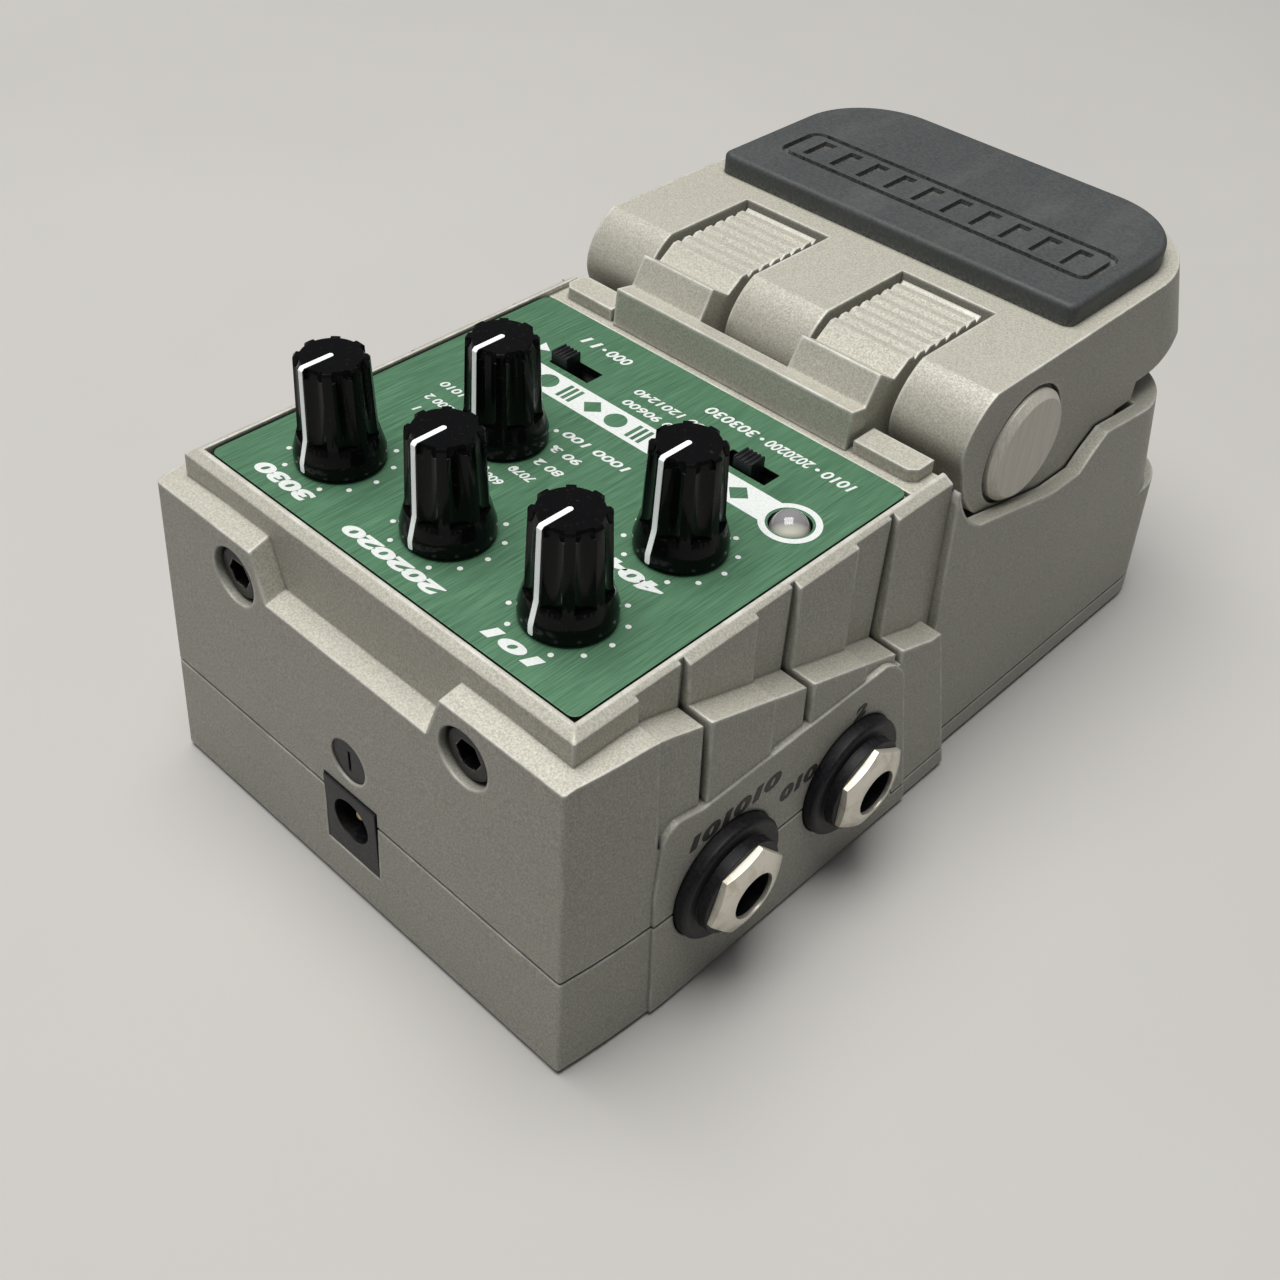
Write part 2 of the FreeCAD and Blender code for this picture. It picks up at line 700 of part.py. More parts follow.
def casing_outside():
    flank = bowed_block(0.0, RIM_TOP, -PLATE_STEP)
    flank = joined([flank, bowed_block(0.0, SOCKET_PANEL_TOP + 2, 0.0).common(socket_panel())])
    flank = flank.common(flank_space(0.0))
    flank = flank.cut(back_shelf_cut())
    shoulder = RIM_TOP - RIM_BEVEL_HEIGHT
    tower = tapered(tower_plan(HEEL_HEIGHT), tower_plan(shoulder))
    rim = tapered(tower_plan(shoulder), tower_plan(RIM_TOP, RIM_BEVEL_WIDTH))
    reach = SHELF_END_AT - CRADLE_RUN_BACK
    low = tapered(cradle_plan(0.0, 0.0, reach, heel_end(0.0), HEEL_CORNER),
                  cradle_plan(HEEL_HEIGHT, 0.0, reach, heel_end(HEEL_HEIGHT), HEEL_CORNER))
    high = tapered(cradle_plan(HEEL_HEIGHT, 0.0, BACK_TO_RIM_END, cradle_end(HEEL_HEIGHT), CRADLE_CORNER),
                   cradle_plan(RIM_TOP, 0.0, BACK_TO_RIM_END, cradle_end(RIM_TOP), CRADLE_CORNER))
    high = high.cut(above_cradle())
    return joined([flank, tower, rim, low, high]).cut(armour_cuts(flank))


def casing_inside():
    low = bowed_block(FLOOR, LOW_ROOM_TOP, -SIDE_WALL)
    low = low.common(box(-FAR, FAR, from_back(SHELF_END_AT), FAR, FLOOR, LOW_ROOM_TOP))
    cradle = tapered(cradle_plan(FLOOR, CRADLE_WALL, BACK_TO_LOW_ROOM_END, heel_end(FLOOR), HEEL_CORNER),
                     cradle_plan(HEEL_HEIGHT - CRADLE_WALL, CRADLE_WALL, BACK_TO_LOW_ROOM_END,
                                 heel_end(HEEL_HEIGHT - CRADLE_WALL), HEEL_CORNER))
    under_pocket = tapered(cradle_plan(HEEL_HEIGHT - CRADLE_WALL, CRADLE_WALL, BACK_TO_LOW_ROOM_END,
                                       cradle_end(HEEL_HEIGHT), CRADLE_CORNER),
                           cradle_plan(POCKET_BOTTOM, CRADLE_WALL, BACK_TO_LOW_ROOM_END,
                                       cradle_end(POCKET_BOTTOM), CRADLE_CORNER))
    tower = box(-TOWER_ROOM_HALF, TOWER_ROOM_HALF, TOWER_ROOM_FRONT, TOWER_ROOM_BACK,
                LOW_ROOM_TOP - 1, DECK_BOTTOM)
    return joined([low, cradle, under_pocket, tower])


def below_parting(gap):
    drop_end = BACK_TO_PARTING_DROP + PARTING_DROP_RUN
    high = PARTING_HEIGHT - gap
    low = FRONT_PARTING_HEIGHT - gap
    points = back_to([(-2.0, -1.0), (-2.0, high), (BACK_TO_PARTING_DROP, high), (drop_end, low),
                      (LENGTH + 2, low), (LENGTH + 2, -1.0)])
    return across(points, -HALF_WIDTH - 5, HALF_WIDTH + 5)


def socket_sides():
    return [(-1, MONO_OUT_Y), (-1, RIGHT_OUT_Y), (1, INPUT_Y)]


def socket_cuts():
    cuts = []
    for side, y in socket_sides():
        axis = RIGHT * side
        inner = HALF_WIDTH - SIDE_WALL - 5
        sink = WASHER_RADIUS + FIT_GAP
        cuts.append(rod(side * inner, y, SOCKET_HEIGHT, SOCKET_THREAD + FIT_GAP, FAR, axis))
        cuts.append(rod(side * SOCKET_SEAT, y, SOCKET_HEIGHT, sink, WASHER_SINK_DEPTH, axis))
    return cuts


def power_cut():
    half = POWER_HALF_WIDTH + FIT_GAP
    return box(-half, half, HALF_LENGTH - POWER_ROOM, FAR, POWER_BOTTOM, POWER_TOP + FIT_GAP)


def bay_front():
    return from_back(BACK_TO_BATTERY_END) - BATTERY_ROOM


def bay_back():
    return from_back(BACK_TO_BATTERY_END) + BATTERY_LENGTH + SNAP_THICKNESS + BATTERY_ROOM


def bay_half():
    return BATTERY_WIDTH / 2 + BATTERY_ROOM


def bottom_tray(outside, inside):
    tray = outside.common(below_parting(PARTING_GAP))
    tray = tray.cut(inside)
    lip_outer = bowed_block(FLOOR, PARTING_HEIGHT + LIP_HEIGHT, -SIDE_WALL)
    lip_inner = bowed_block(FLOOR - 1, PARTING_HEIGHT + LIP_HEIGHT + 1, -SIDE_WALL - LIP_THICKNESS)
    reach = box(-FAR, FAR, from_back(BACK_TO_PARTING_DROP - 1), FAR, FLOOR, PARTING_HEIGHT + LIP_HEIGHT)
    lip = lip_outer.cut(lip_inner).common(reach)
    for side, y in socket_sides():
        notch = SOCKET_WIDTH / 2 + MOVING_GAP
        lip = lip.cut(box(-FAR, FAR, y - notch, y + notch, 0, FAR))
    half = bay_half()
    bay = box(-half - BAY_WALL, half + BAY_WALL, bay_front() - BAY_WALL, bay_back() + BAY_WALL,
              FLOOR, BAY_HEIGHT)
    bay = bay.cut(box(-half, half, bay_front(), bay_back(), 0, BAY_HEIGHT + 1))
    pieces = [tray, lip, bay]
    for x, y in tray_standoffs():
        pieces.append(rod(x, y, FLOOR / 2, STANDOFF_RADIUS, SOCKET_BOARD_BOTTOM - FLOOR / 2))
    tray = joined(pieces)
    cuts = socket_cuts() + [power_cut()]
    for x, y in foot_places():
        cuts.append(rod(x, y, -1, FOOT_RADIUS, 1 + FOOT_SEAT))
    for x, y in screw_places():
        cuts.append(rod(x, y, -1, SCREW_RADIUS + FIT_GAP, FLOOR + 3))
        cuts.append(cone(x, y, 0, SCREW_HEAD + FIT_GAP, SCREW_RADIUS + FIT_GAP, SCREW_HEAD_HEIGHT))
    for x, y in tray_standoffs():
        cuts.append(rod(x, y, FLOOR, SMALL_SCREW, FAR))
    door_half = half - MOVING_GAP
    cuts.append(box(-half, half, bay_front(), bay_back(), -1, FLOOR + 1))
    hinge = door_axis()
    cuts.append(rod(-door_half - DOOR_PIN_LENGTH, hinge[0], hinge[1], DOOR_PIN_RADIUS + RUNNING_GAP,
                    2 * (door_half + DOOR_PIN_LENGTH), RIGHT))
    return tray.cut(joined(cuts))


def upper_housing(outside, inside):
    housing = outside.cut(below_parting(0.0))
    housing = housing.cut(inside)
    half = PLATE_HALF_WIDTH + PLATE_GAP
    plate_back = from_back(BACK_TO_PLATE - PLATE_GAP)
    plate_front = from_back(BACK_TO_PLATE_END + PLATE_GAP)
    rim_end = from_back(BACK_TO_RIM_END)
    hollow = [
        box(-half, half, plate_front, plate_back, DECK_TOP, RIM_TOP + 1),
        box(-half, half, rim_end - 1, plate_front + 1, FRONT_DECK, RIM_TOP + 1),
        box(-POCKET_HALF_WIDTH, POCKET_HALF_WIDTH, from_back(BACK_TO_POCKET_END), rim_end,
            POCKET_FLOOR, RIM_TOP + 9),
    ]
    housing = housing.cut(joined(hollow[:2])).cut(hollow[2])
    pieces = [housing]
    for side in (-1, 1):
        low = min(side * PAD_INNER, side * PAD_OUTER)
        pad = box(low, low + PAD_OUTER - PAD_INNER, rim_end, from_back(BACK_TO_PAD),
                  FRONT_DECK - PAD_ROOT, PAD_TOP)
        edge = [edge for edge in pad.Edges if pad_corner(edge, side)]
        pieces.append(pad.makeChamfer(PAD_BEVEL, edge))
    for x, y in screw_places():
        top = boss_top(y)
        pieces.append(rod(x, y, FLOOR, BOSS_RADIUS, top - FLOOR))
    for x, y in board_standoffs():
        pieces.append(rod(x, y, MAIN_BOARD_TOP, STANDOFF_RADIUS, DECK_BOTTOM + 1 - MAIN_BOARD_TOP))
    for x in (-SPRING_X, SPRING_X):
        pieces.append(rod(x, SPRING_Y, POCKET_FLOOR - 1, spring_inside(), SPRING_PEG + 1))
    housing = joined(pieces)
    cuts = socket_cuts() + [power_cut(), rod(0, TOWER_ROOM_BACK, PLUG_HEIGHT, PLUG_RADIUS, FAR, BACKWARD)]
    for name, x, y in KNOBS:
        cuts.append(rod(x, y, DECK_BOTTOM - 1, POT_COLLAR_RADIUS + FIT_GAP, DECK_SKIN + 3))
    cuts.append(rod(LAMP_X, LAMP_Y, DECK_BOTTOM - 1, LAMP_FLANGE + FIT_GAP, DECK_SKIN + 3))
    for x, travel in ((THREE_WAY_X, THREE_WAY_TRAVEL), (TWO_WAY_X, TWO_WAY_TRAVEL)):
        cuts.append(slide_slot(x, travel, SLIDE_DECK_MARGIN, DECK_BOTTOM - 1, DECK_TOP + 1))
    for x in (-BACK_SCREW_X, BACK_SCREW_X):
        floor = back_screw_floor()
        cuts.append(rod(x, floor, BACK_SCREW_HEIGHT, BACK_SCREW_SINK, FAR, BACKWARD))
        start = TOWER_ROOM_BACK - BRACKET_THICKNESS
        cuts.append(rod(x, start, BACK_SCREW_HEIGHT, BACK_SCREW_SHANK + FIT_GAP, floor + 1 - start, BACKWARD))
    for x, y in screw_places():
        cuts.append(rod(x, y, 0, SCREW_RADIUS, SCREW_LENGTH + 1))
    for x, y in board_standoffs():
        cuts.append(rod(x, y, MAIN_BOARD_TOP - 1, SMALL_SCREW, STANDOFF_BORE + 1))
    cuts.append(rod(0, SWITCH_Y, POCKET_BOTTOM - 1, SWITCH_COLLAR + FIT_GAP, POCKET_SKIN + 2))
    for x in (-STOP_X, STOP_X):
        cuts.append(rod(x, STOP_Y, CRADLE_DECK - STOP_SEAT, STOP_RADIUS, 5))
    for x, y in hinge_screws():
        cuts.append(rod(x, y, POCKET_BOTTOM - 1, HINGE_SCREW + FIT_GAP, POCKET_SKIN + 2))
    return housing.cut(joined(cuts))


def pad_corner(edge, side):
    middle = edge.CenterOfMass
    upright_edge = abs(middle.z - (FRONT_DECK - PAD_ROOT + PAD_TOP) / 2) < 0.1
    at_outer = abs(middle.x - side * PAD_OUTER) < 0.1
    return at_outer and upright_edge and middle.y > from_back(BACK_TO_PAD) - 0.1


def boss_top(y):
    if y > from_back(SHELF_END_AT):
        return LOW_ROOM_TOP + 1
    return POCKET_BOTTOM + 1


def board_standoffs():
    places = []
    for x in (-STANDOFF_X, STANDOFF_X):
        for distance in BACK_TO_STANDOFFS:
            places.append((x, from_back(distance)))
    return places


def tray_standoffs():
    places = []
    for x in (-STANDOFF_RADIUS * 2, STANDOFF_RADIUS * 2):
        for y in (SOCKET_BOARD_FRONT_Y + STANDOFF_RADIUS, SOCKET_BOARD_BACK_Y - STANDOFF_RADIUS * 2):
            places.append((x, y))
    return places


def hinge_screws():
    middle = (KNUCKLE_INNER + KNUCKLE_OUTER) / 2
    back = from_back(BACK_TO_RIM_END) - HINGE_SCREW_INSET
    front = from_back(BACK_TO_KNUCKLE_END) + HINGE_SCREW_INSET
    places = []
    for x in (-middle, middle):
        places.append((x, back))
        places.append((x, front))
    return places


def back_screw_floor():
    return HALF_LENGTH - DRAFT * BACK_SCREW_HEIGHT - BACK_SCREW_SINK_DEPTH


def rounded_plate(half, back, front, back_radius, front_radius, low, high):
    back_in = back_radius * (1 - math.sqrt(0.5))
    front_in = front_radius * (1 - math.sqrt(0.5))
    wire = outline(flat(low), (-half + back_radius, back), [
        ((half - back_radius, back),),
        ((half - back_in, back - back_in), (half, back - back_radius)),
        ((half, front + front_radius),),
        ((half - front_in, front + front_in), (half - front_radius, front)),
        ((-half + front_radius, front),),
        ((-half + front_in, front + front_in), (-half, front + front_radius)),
        ((-half, back - back_radius),),
        ((-half + back_in, back - back_in), (-half + back_radius, back)),
    ])
    return extruded(wire, at(0, 0, high - low))


def slide_slot(x, travel, margin, low, high):
    half = TOGGLE_LENGTH / 2 + travel + SLIDE_CLEARANCE + margin
    wide = SLIDE_SLOT_WIDTH / 2 + margin
    return box(x - half, x + half, SLIDE_Y - wide, SLIDE_Y + wide, low, high)


def faceplate():
    plate = rounded_plate(PLATE_HALF_WIDTH, from_back(BACK_TO_PLATE), from_back(BACK_TO_PLATE_END),
                          PLATE_BACK_RADIUS, PLATE_FRONT_RADIUS, DECK_TOP, PLATE_TOP)
    cuts = []
    for name, x, y in KNOBS:
        cuts.append(rod(x, y, DECK_TOP - 1, POT_COLLAR_RADIUS + FIT_GAP, 4))
    cuts.append(rod(LAMP_X, LAMP_Y, DECK_TOP - 1, LAMP_RADIUS + FIT_GAP, 4))
    for x, travel in ((THREE_WAY_X, THREE_WAY_TRAVEL), (TWO_WAY_X, TWO_WAY_TRAVEL)):
        cuts.append(slide_slot(x, travel, 0.0, DECK_TOP - 1, PLATE_TOP + 1))
    return plate.cut(joined(cuts))


# Hinge block

def cross_wall_edge():
    lean = BACK_TO_CROSS_WALL + CROSS_WALL_DRAFT
    return [(BACK_TO_CROSS_WALL, FRONT_DECK), (lean, CROSS_WALL_TOP), CROSS_WALL_FRONT]


def knuckle_profile():
    pitch = (BACK_TO_KNUCKLE_END - BACK_TO_RIBS) / (RIB_COUNT - 1)
    points = cross_wall_edge() + KNUCKLE_HUMP
    for count in range(RIB_COUNT):
        tip = BACK_TO_RIBS + count * pitch
        points.append((tip, RIB_TIP))
        if count < RIB_COUNT - 1:
            points.append((tip + RIB_FLAT_SHARE * pitch, RIB_TIP))
            points.append((tip + (RIB_FLAT_SHARE + RIB_RISE_SHARE) * pitch, RIB_VALLEY))
    points += [(BACK_TO_KNUCKLE_END, POCKET_FLOOR), (BACK_TO_RIM_END, POCKET_FLOOR),
               (BACK_TO_RIM_END, FRONT_DECK)]
    return back_to(points)


def hinge_block():
    knuckle = across(knuckle_profile(), KNUCKLE_INNER, KNUCKLE_OUTER)
    wall_points = back_to(cross_wall_edge() + [(CROSS_WALL_FOOT, FRONT_DECK)])
    wall = across(wall_points, -HINGE_HALF_WIDTH, HINGE_HALF_WIDTH)
    tie_back = from_back(BACK_TO_RIM_END)
    tie = box(-KNUCKLE_OUTER, KNUCKLE_OUTER, tie_back - TIE_LENGTH, tie_back, POCKET_FLOOR,
              POCKET_FLOOR + TIE_HEIGHT)
    block = joined(both_sides(knuckle) + [wall, tie])
    cuts = [rod(-HINGE_HALF_WIDTH - 1, HINGE_Y, HINGE_HEIGHT, BUSH_RADIUS, 2 * HINGE_HALF_WIDTH + 2, RIGHT)]
    for x, y in hinge_screws():
        cuts.append(rod(x, y, POCKET_FLOOR - 1, HINGE_SCREW, HINGE_SCREW_BITE + 1))
    return block.cut(joined(cuts))


def hinge_bushes():
    length = KNUCKLE_OUTER - KNUCKLE_INNER
    bush = rod(KNUCKLE_INNER, HINGE_Y, HINGE_HEIGHT, BUSH_RADIUS, length, RIGHT)
    bore = rod(KNUCKLE_INNER - 1, HINGE_Y, HINGE_HEIGHT, PIN_RADIUS + PIN_RUNNING_GAP, length + 2, RIGHT)
    return grouped(both_sides(bush.cut(bore)))


def hinge_block_screws():
    screws = []
    for x, y in hinge_screws():
        shank = rod(x, y, POCKET_BOTTOM, HINGE_SCREW, POCKET_SKIN + HINGE_SCREW_BITE)
        head = rod(x, y, POCKET_BOTTOM - HINGE_SCREW_HEAD_HEIGHT, HINGE_SCREW_HEAD, HINGE_SCREW_HEAD_HEIGHT)
        screws.append(shank.fuse(head).removeSplitter())
    return grouped(screws)


# Footplate

def footplate_plan(z, set_back, corner):
    front = from_front(set_back)
    back = from_back(BACK_TO_FOOTPLATE - CAP_SINK_RADIUS)
    rounded = corner * (1 - math.sqrt(0.5))
    half = PLATE_HALF
    return outline(flat(z), (-half, back), [
        ((half, back),),
        ((half, front + corner),),
        ((half - rounded, front + rounded), (half - corner, front)),
        ((-half + corner, front),),
        ((-half + rounded, front + rounded), (-half, front + corner)),
        ((-half, back),),
    ])


def footplate_block():
    # The front wall leans out going down, and its bottom edge rolls under.
    plans = [footplate_plan(*level) for level in FOOTPLATE_LEVELS]
    layers = [tapered(low, high) for low, high in zip(plans, plans[1:])]
    keel = from_back(FOOTPLATE_HEEL[-1][0])
    behind = box(-PLATE_HALF, PLATE_HALF, keel, HALF_LENGTH, 0, FOOTPLATE_BOTTOM)
    return joined(layers + [behind])


def footplate_side():
    top = from_back(BACK_TO_FOOTPLATE)
    knuckle = back_to(FOOTPLATE_KNUCKLE)
    heel = back_to(FOOTPLATE_HEEL)
    steps = [(knuckle[0], knuckle[1]), (knuckle[2], knuckle[3]), (knuckle[4], knuckle[5])]
    steps += [(point,) for point in heel]
    keel = heel[-1][0]
    steps += [((keel, FOOTPLATE_BOTTOM),), ((-FAR, FOOTPLATE_BOTTOM),), ((-FAR, FOOTPLATE_TOP),),
              ((top, FOOTPLATE_TOP),)]
    return outline(upright(-PLATE_HALF), (top, FOOTPLATE_TOP), steps)


def footplate_hollow(skin):
    wall = FOOTPLATE_SKIN
    set_back, corner = FOOTPLATE_LEVELS[0][1:]
    front = from_front(set_back + wall)
    back = from_back(BACK_TO_SLOT_END + wall)
    return rounded_plate(PLATE_HALF - wall, back, front, HOLLOW_BACK_CORNER, corner, 0, skin)


def treadle():
    body = extruded(footplate_side(), at(2 * PLATE_HALF, 0, 0))
    body = body.common(footplate_block())
    skin = FOOTPLATE_TOP - FOOTPLATE_SKIN
    body = body.cut(footplate_hollow(skin))
    slot = box(SLOT_INNER, SLOT_OUTER, from_back(BACK_TO_SLOT_END), FAR, 0, FOOTPLATE_TOP + 1)
    body = body.cut(joined(both_sides(slot)))
    pieces = [body]
    bosses = [(0.0, SWITCH_Y, PLUNGER_TOP + MOVING_GAP, SWITCH_BOSS_RADIUS)]
    for x in (-STOP_X, STOP_X):
        bosses.append((x, STOP_Y, stop_boss_bottom(), STOP_BOSS_RADIUS))
    for x in (-SPRING_X, SPRING_X):
        bosses.append((x, SPRING_Y, skin - SPRING_PEG / 2, spring_inside()))
    for x, y, bottom, radius in bosses:
        pieces.append(rod(x, y, bottom, radius, skin + 1 - bottom))
    body = joined(pieces)
    reach = 2 * CAP_FACE
    cuts = [rod(-CAP_FACE, HINGE_Y, HINGE_HEIGHT, PIN_RADIUS, reach, RIGHT)]
    for side in (-1, 1):
        axis = RIGHT * side
        cuts.append(rod(side * (PLATE_HALF - CAP_SINK), HINGE_Y, HINGE_HEIGHT, CAP_SINK_RADIUS, 5, axis))
        neck = PLATE_HALF - CAP_SINK - CAP_NECK_LENGTH
        cuts.append(rod(side * neck, HINGE_Y, HINGE_HEIGHT, CAP_NECK, CAP_NECK_LENGTH, axis))
    return body.cut(joined(cuts))


def stop_boss_bottom():
    arm = HINGE_Y - STOP_Y + STOP_BOSS_RADIUS
    return CRADLE_DECK + STOP_HEIGHT + MOVING_GAP + arm * math.sin(TRAVEL)


def spring_inside():
    return SPRING_RADIUS - SPRING_WIRE - MOVING_GAP


def hinge_pin():
    half = PLATE_HALF - CAP_SINK
    return rod(-half, HINGE_Y, HINGE_HEIGHT, PIN_RADIUS, 2 * half, RIGHT)


def hinge_cap(side):
    axis = RIGHT * side
    inner = PLATE_HALF - CAP_SINK
    neck_start = inner - CAP_NECK_LENGTH
    head = rod(side * inner, HINGE_Y, HINGE_HEIGHT, CAP_RADIUS, CAP_FACE - CAP_BEVEL - inner, axis)
    rim = cone(side * (CAP_FACE - CAP_BEVEL), HINGE_Y, HINGE_HEIGHT, CAP_RADIUS, CAP_RADIUS - CAP_BEVEL,
               CAP_BEVEL, axis)
    neck = rod(side * neck_start, HINGE_Y, HINGE_HEIGHT, CAP_NECK, CAP_NECK_LENGTH, axis)
    bore = rod(side * neck_start, HINGE_Y, HINGE_HEIGHT, PIN_RADIUS, CAP_NECK_LENGTH, axis)
    return joined([head, rim, neck]).cut(bore)


def treadle_pad():
    top = FOOTPLATE_TOP + TREAD_THICKNESS
    pad = rounded_plate(TREAD_HALF_WIDTH, from_back(BACK_TO_TREAD), from_front(FRONT_TO_TREAD),
                        TREAD_FRONT_CORNER, TREAD_CORNER, FOOTPLATE_TOP, top)
    rim = [edge for edge in pad.Edges if abs(edge.BoundBox.ZMin - top) < 0.01]
    pad = pad.makeFillet(TREAD_BEVEL, rim)
    outer = framed(FRAME_HALF_LENGTH, FRAME_HALF_WIDTH, FRAME_CORNER, top)
    inner = framed(FRAME_HALF_LENGTH - FRAME_LINE, FRAME_HALF_WIDTH - FRAME_LINE,
                   FRAME_CORNER - FRAME_LINE, top)
    cuts = [outer.cut(inner)]
    room = 2 * (FRAME_HALF_LENGTH - 2 * FRAME_LINE)
    pitch = room / GRIP_BARS
    for count in range(GRIP_BARS):
        x = FRAME_X - room / 2 + (count + 0.5) * pitch
        reach = FRAME_HALF_WIDTH - GRIP_BAR_INSET
        cuts.append(box(x - GRIP_BAR_WIDTH / 2, x + GRIP_BAR_WIDTH / 2, FRAME_Y - reach, FRAME_Y + reach,
                        top - FRAME_DEPTH, top + 1))
    return pad.cut(grouped(cuts))


def framed(half_length, half_width, radius, top):
    block = box(FRAME_X - half_length, FRAME_X + half_length, FRAME_Y - half_width, FRAME_Y + half_width,
                top - FRAME_DEPTH, top + 1)
    corners = [edge for edge in block.Edges if edge.BoundBox.ZLength > 1]
    return block.makeFillet(radius, corners)


# Knobs, shafts and the parts that carry them

def knob_crown_cuts(x, y, top):
    # Between the ribs, the crown falls away from the flat top.
    low = top - KNOB_CROWN_HEIGHT
    slope = (KNOB_CROWN_FOOT - KNOB_CAP_RADIUS) / KNOB_CROWN_HEIGHT
    keep = [cone(x, y, low, KNOB_CROWN_FOOT, KNOB_CAP_RADIUS - slope, KNOB_CROWN_HEIGHT + 1)]
    half = KNOB_RIB_WIDTH / 2
    for count in range(KNOB_RIBS // 2):
        rib = box(x - half, x + half, y - KNOB_RADIUS, y + KNOB_RADIUS, low - 1, top + 2)
        rib.rotate(at(x, y, 0), UP, 360.0 * count / KNOB_RIBS)
        keep.append(rib)
    return rod(x, y, low, KNOB_RADIUS, KNOB_CROWN_HEIGHT + 1).cut(joined(keep))


def knob(x, y):
    base = PLATE_TOP + KNOB_LIFT
    shoulder = base + KNOB_SKIRT_HEIGHT
    top = base + KNOB_HEIGHT
    foot = base + KNOB_EDGE
    rim_top = foot + KNOB_RIM_HEIGHT
    skirt = cone(x, y, base, KNOB_RADIUS - KNOB_EDGE, KNOB_RADIUS, KNOB_EDGE)
    rim = rod(x, y, foot, KNOB_RADIUS, KNOB_RIM_HEIGHT)
    flare = cone(x, y, rim_top, KNOB_RADIUS, KNOB_BODY_RADIUS, shoulder - rim_top)
    body_height = top - KNOB_RIB_BEVEL - shoulder
    body = cone(x, y, shoulder, KNOB_BODY_RADIUS, KNOB_TOP_RADIUS, body_height)
    crown = cone(x, y, top - KNOB_RIB_BEVEL, KNOB_TOP_RADIUS, KNOB_TOP_RADIUS - KNOB_RIB_BEVEL, KNOB_RIB_BEVEL)
    solid = joined([skirt, rim, flare, body, crown])
    cuts = [rod(x, y, base - 1, SHAFT_RADIUS, SHAFT_BITE + 1), knob_crown_cuts(x, y, top)]
    lean = at(0, KNOB_TOP_RADIUS - KNOB_BODY_RADIUS, body_height)
    start = y + KNOB_BODY_RADIUS + KNOB_FLUTE_RADIUS - KNOB_FLUTE_DEPTH
    for count in range(KNOB_RIBS):
        flute = rod(x, start, shoulder - KNOB_FLUTE_RUN, KNOB_FLUTE_RADIUS, KNOB_HEIGHT, lean)
        flute.rotate(at(x, y, 0), UP, 360.0 * (count + 0.5) / KNOB_RIBS)
        cuts.append(flute)
    return solid.cut(joined(cuts))


def shaft(x, y):
    bottom = MAIN_BOARD_TOP + POT_FLOOR
    top = PLATE_TOP + KNOB_LIFT + SHAFT_BITE
    return rod(x, y, bottom, SHAFT_RADIUS, top - bottom)


def pot(x, y):
    half = POT_WIDTH / 2
    body = box(x - half, x + half, y - half, y + half, MAIN_BOARD_TOP, DECK_BOTTOM)
    collar = rod(x, y, DECK_BOTTOM - 1, POT_COLLAR_RADIUS, DECK_SKIN + 1)
    bore = rod(x, y, MAIN_BOARD_TOP + POT_FLOOR, SHAFT_RADIUS + RUNNING_GAP, FAR)
    return joined([body, collar]).cut(bore)


def lamp():
    dome = Part.makeSphere(LAMP_RADIUS, at(LAMP_X, LAMP_Y, LAMP_TOP - LAMP_RADIUS))
    flange_top = DECK_TOP - LAMP_FLANGE_SINK
    stem = rod(LAMP_X, LAMP_Y, flange_top, LAMP_RADIUS, LAMP_TOP - LAMP_RADIUS - flange_top)
    flange = rod(LAMP_X, LAMP_Y, flange_top - LAMP_FLANGE_HEIGHT, LAMP_FLANGE, LAMP_FLANGE_HEIGHT)
    return joined([dome, stem, flange])


def lamp_spacer():
    top = DECK_TOP - LAMP_FLANGE_SINK - LAMP_FLANGE_HEIGHT
    sleeve = rod(LAMP_X, LAMP_Y, MAIN_BOARD_TOP, LAMP_FLANGE, top - MAIN_BOARD_TOP)
    return sleeve.cut(rod(LAMP_X, LAMP_Y, MAIN_BOARD_TOP, LAMP_FLANGE - LAMP_SPACER_WALL, FAR))


def slide_body(x, travel):
    half = TOGGLE_LENGTH / 2 + travel + SLIDE_BODY_MARGIN
    width = SLIDE_BODY_WIDTH / 2
    body = box(x - half, x + half, SLIDE_Y - width, SLIDE_Y + width, MAIN_BOARD_TOP, DECK_BOTTOM)
    room = slide_slot(x, travel, 0.0, DECK_BOTTOM - SLIDE_BODY_HEIGHT + SLIDE_BODY_FLOOR, FAR)
    return body.cut(room)


def toggle(x):
    half = TOGGLE_LENGTH / 2
    width = TOGGLE_WIDTH / 2
    bottom = DECK_BOTTOM - SLIDE_BODY_HEIGHT + SLIDE_BODY_FLOOR + RUNNING_GAP
    solid = box(x - half, x + half, SLIDE_Y - width, SLIDE_Y + width, bottom, TOGGLE_TOP)
    pitch = TOGGLE_LENGTH / (2 * TOGGLE_RIBS - 1)
    cuts = []
    for count in range(TOGGLE_RIBS - 1):
        start = x - half + (2 * count + 1) * pitch
        cuts.append(box(start, start + pitch, SLIDE_Y - width, SLIDE_Y + width,
                        TOGGLE_TOP - TOGGLE_RIB_DEPTH, TOGGLE_TOP + 1))
    return solid.cut(grouped(cuts))


def two_way_rest():
    return TWO_WAY_X + TWO_WAY_TRAVEL


# Sockets

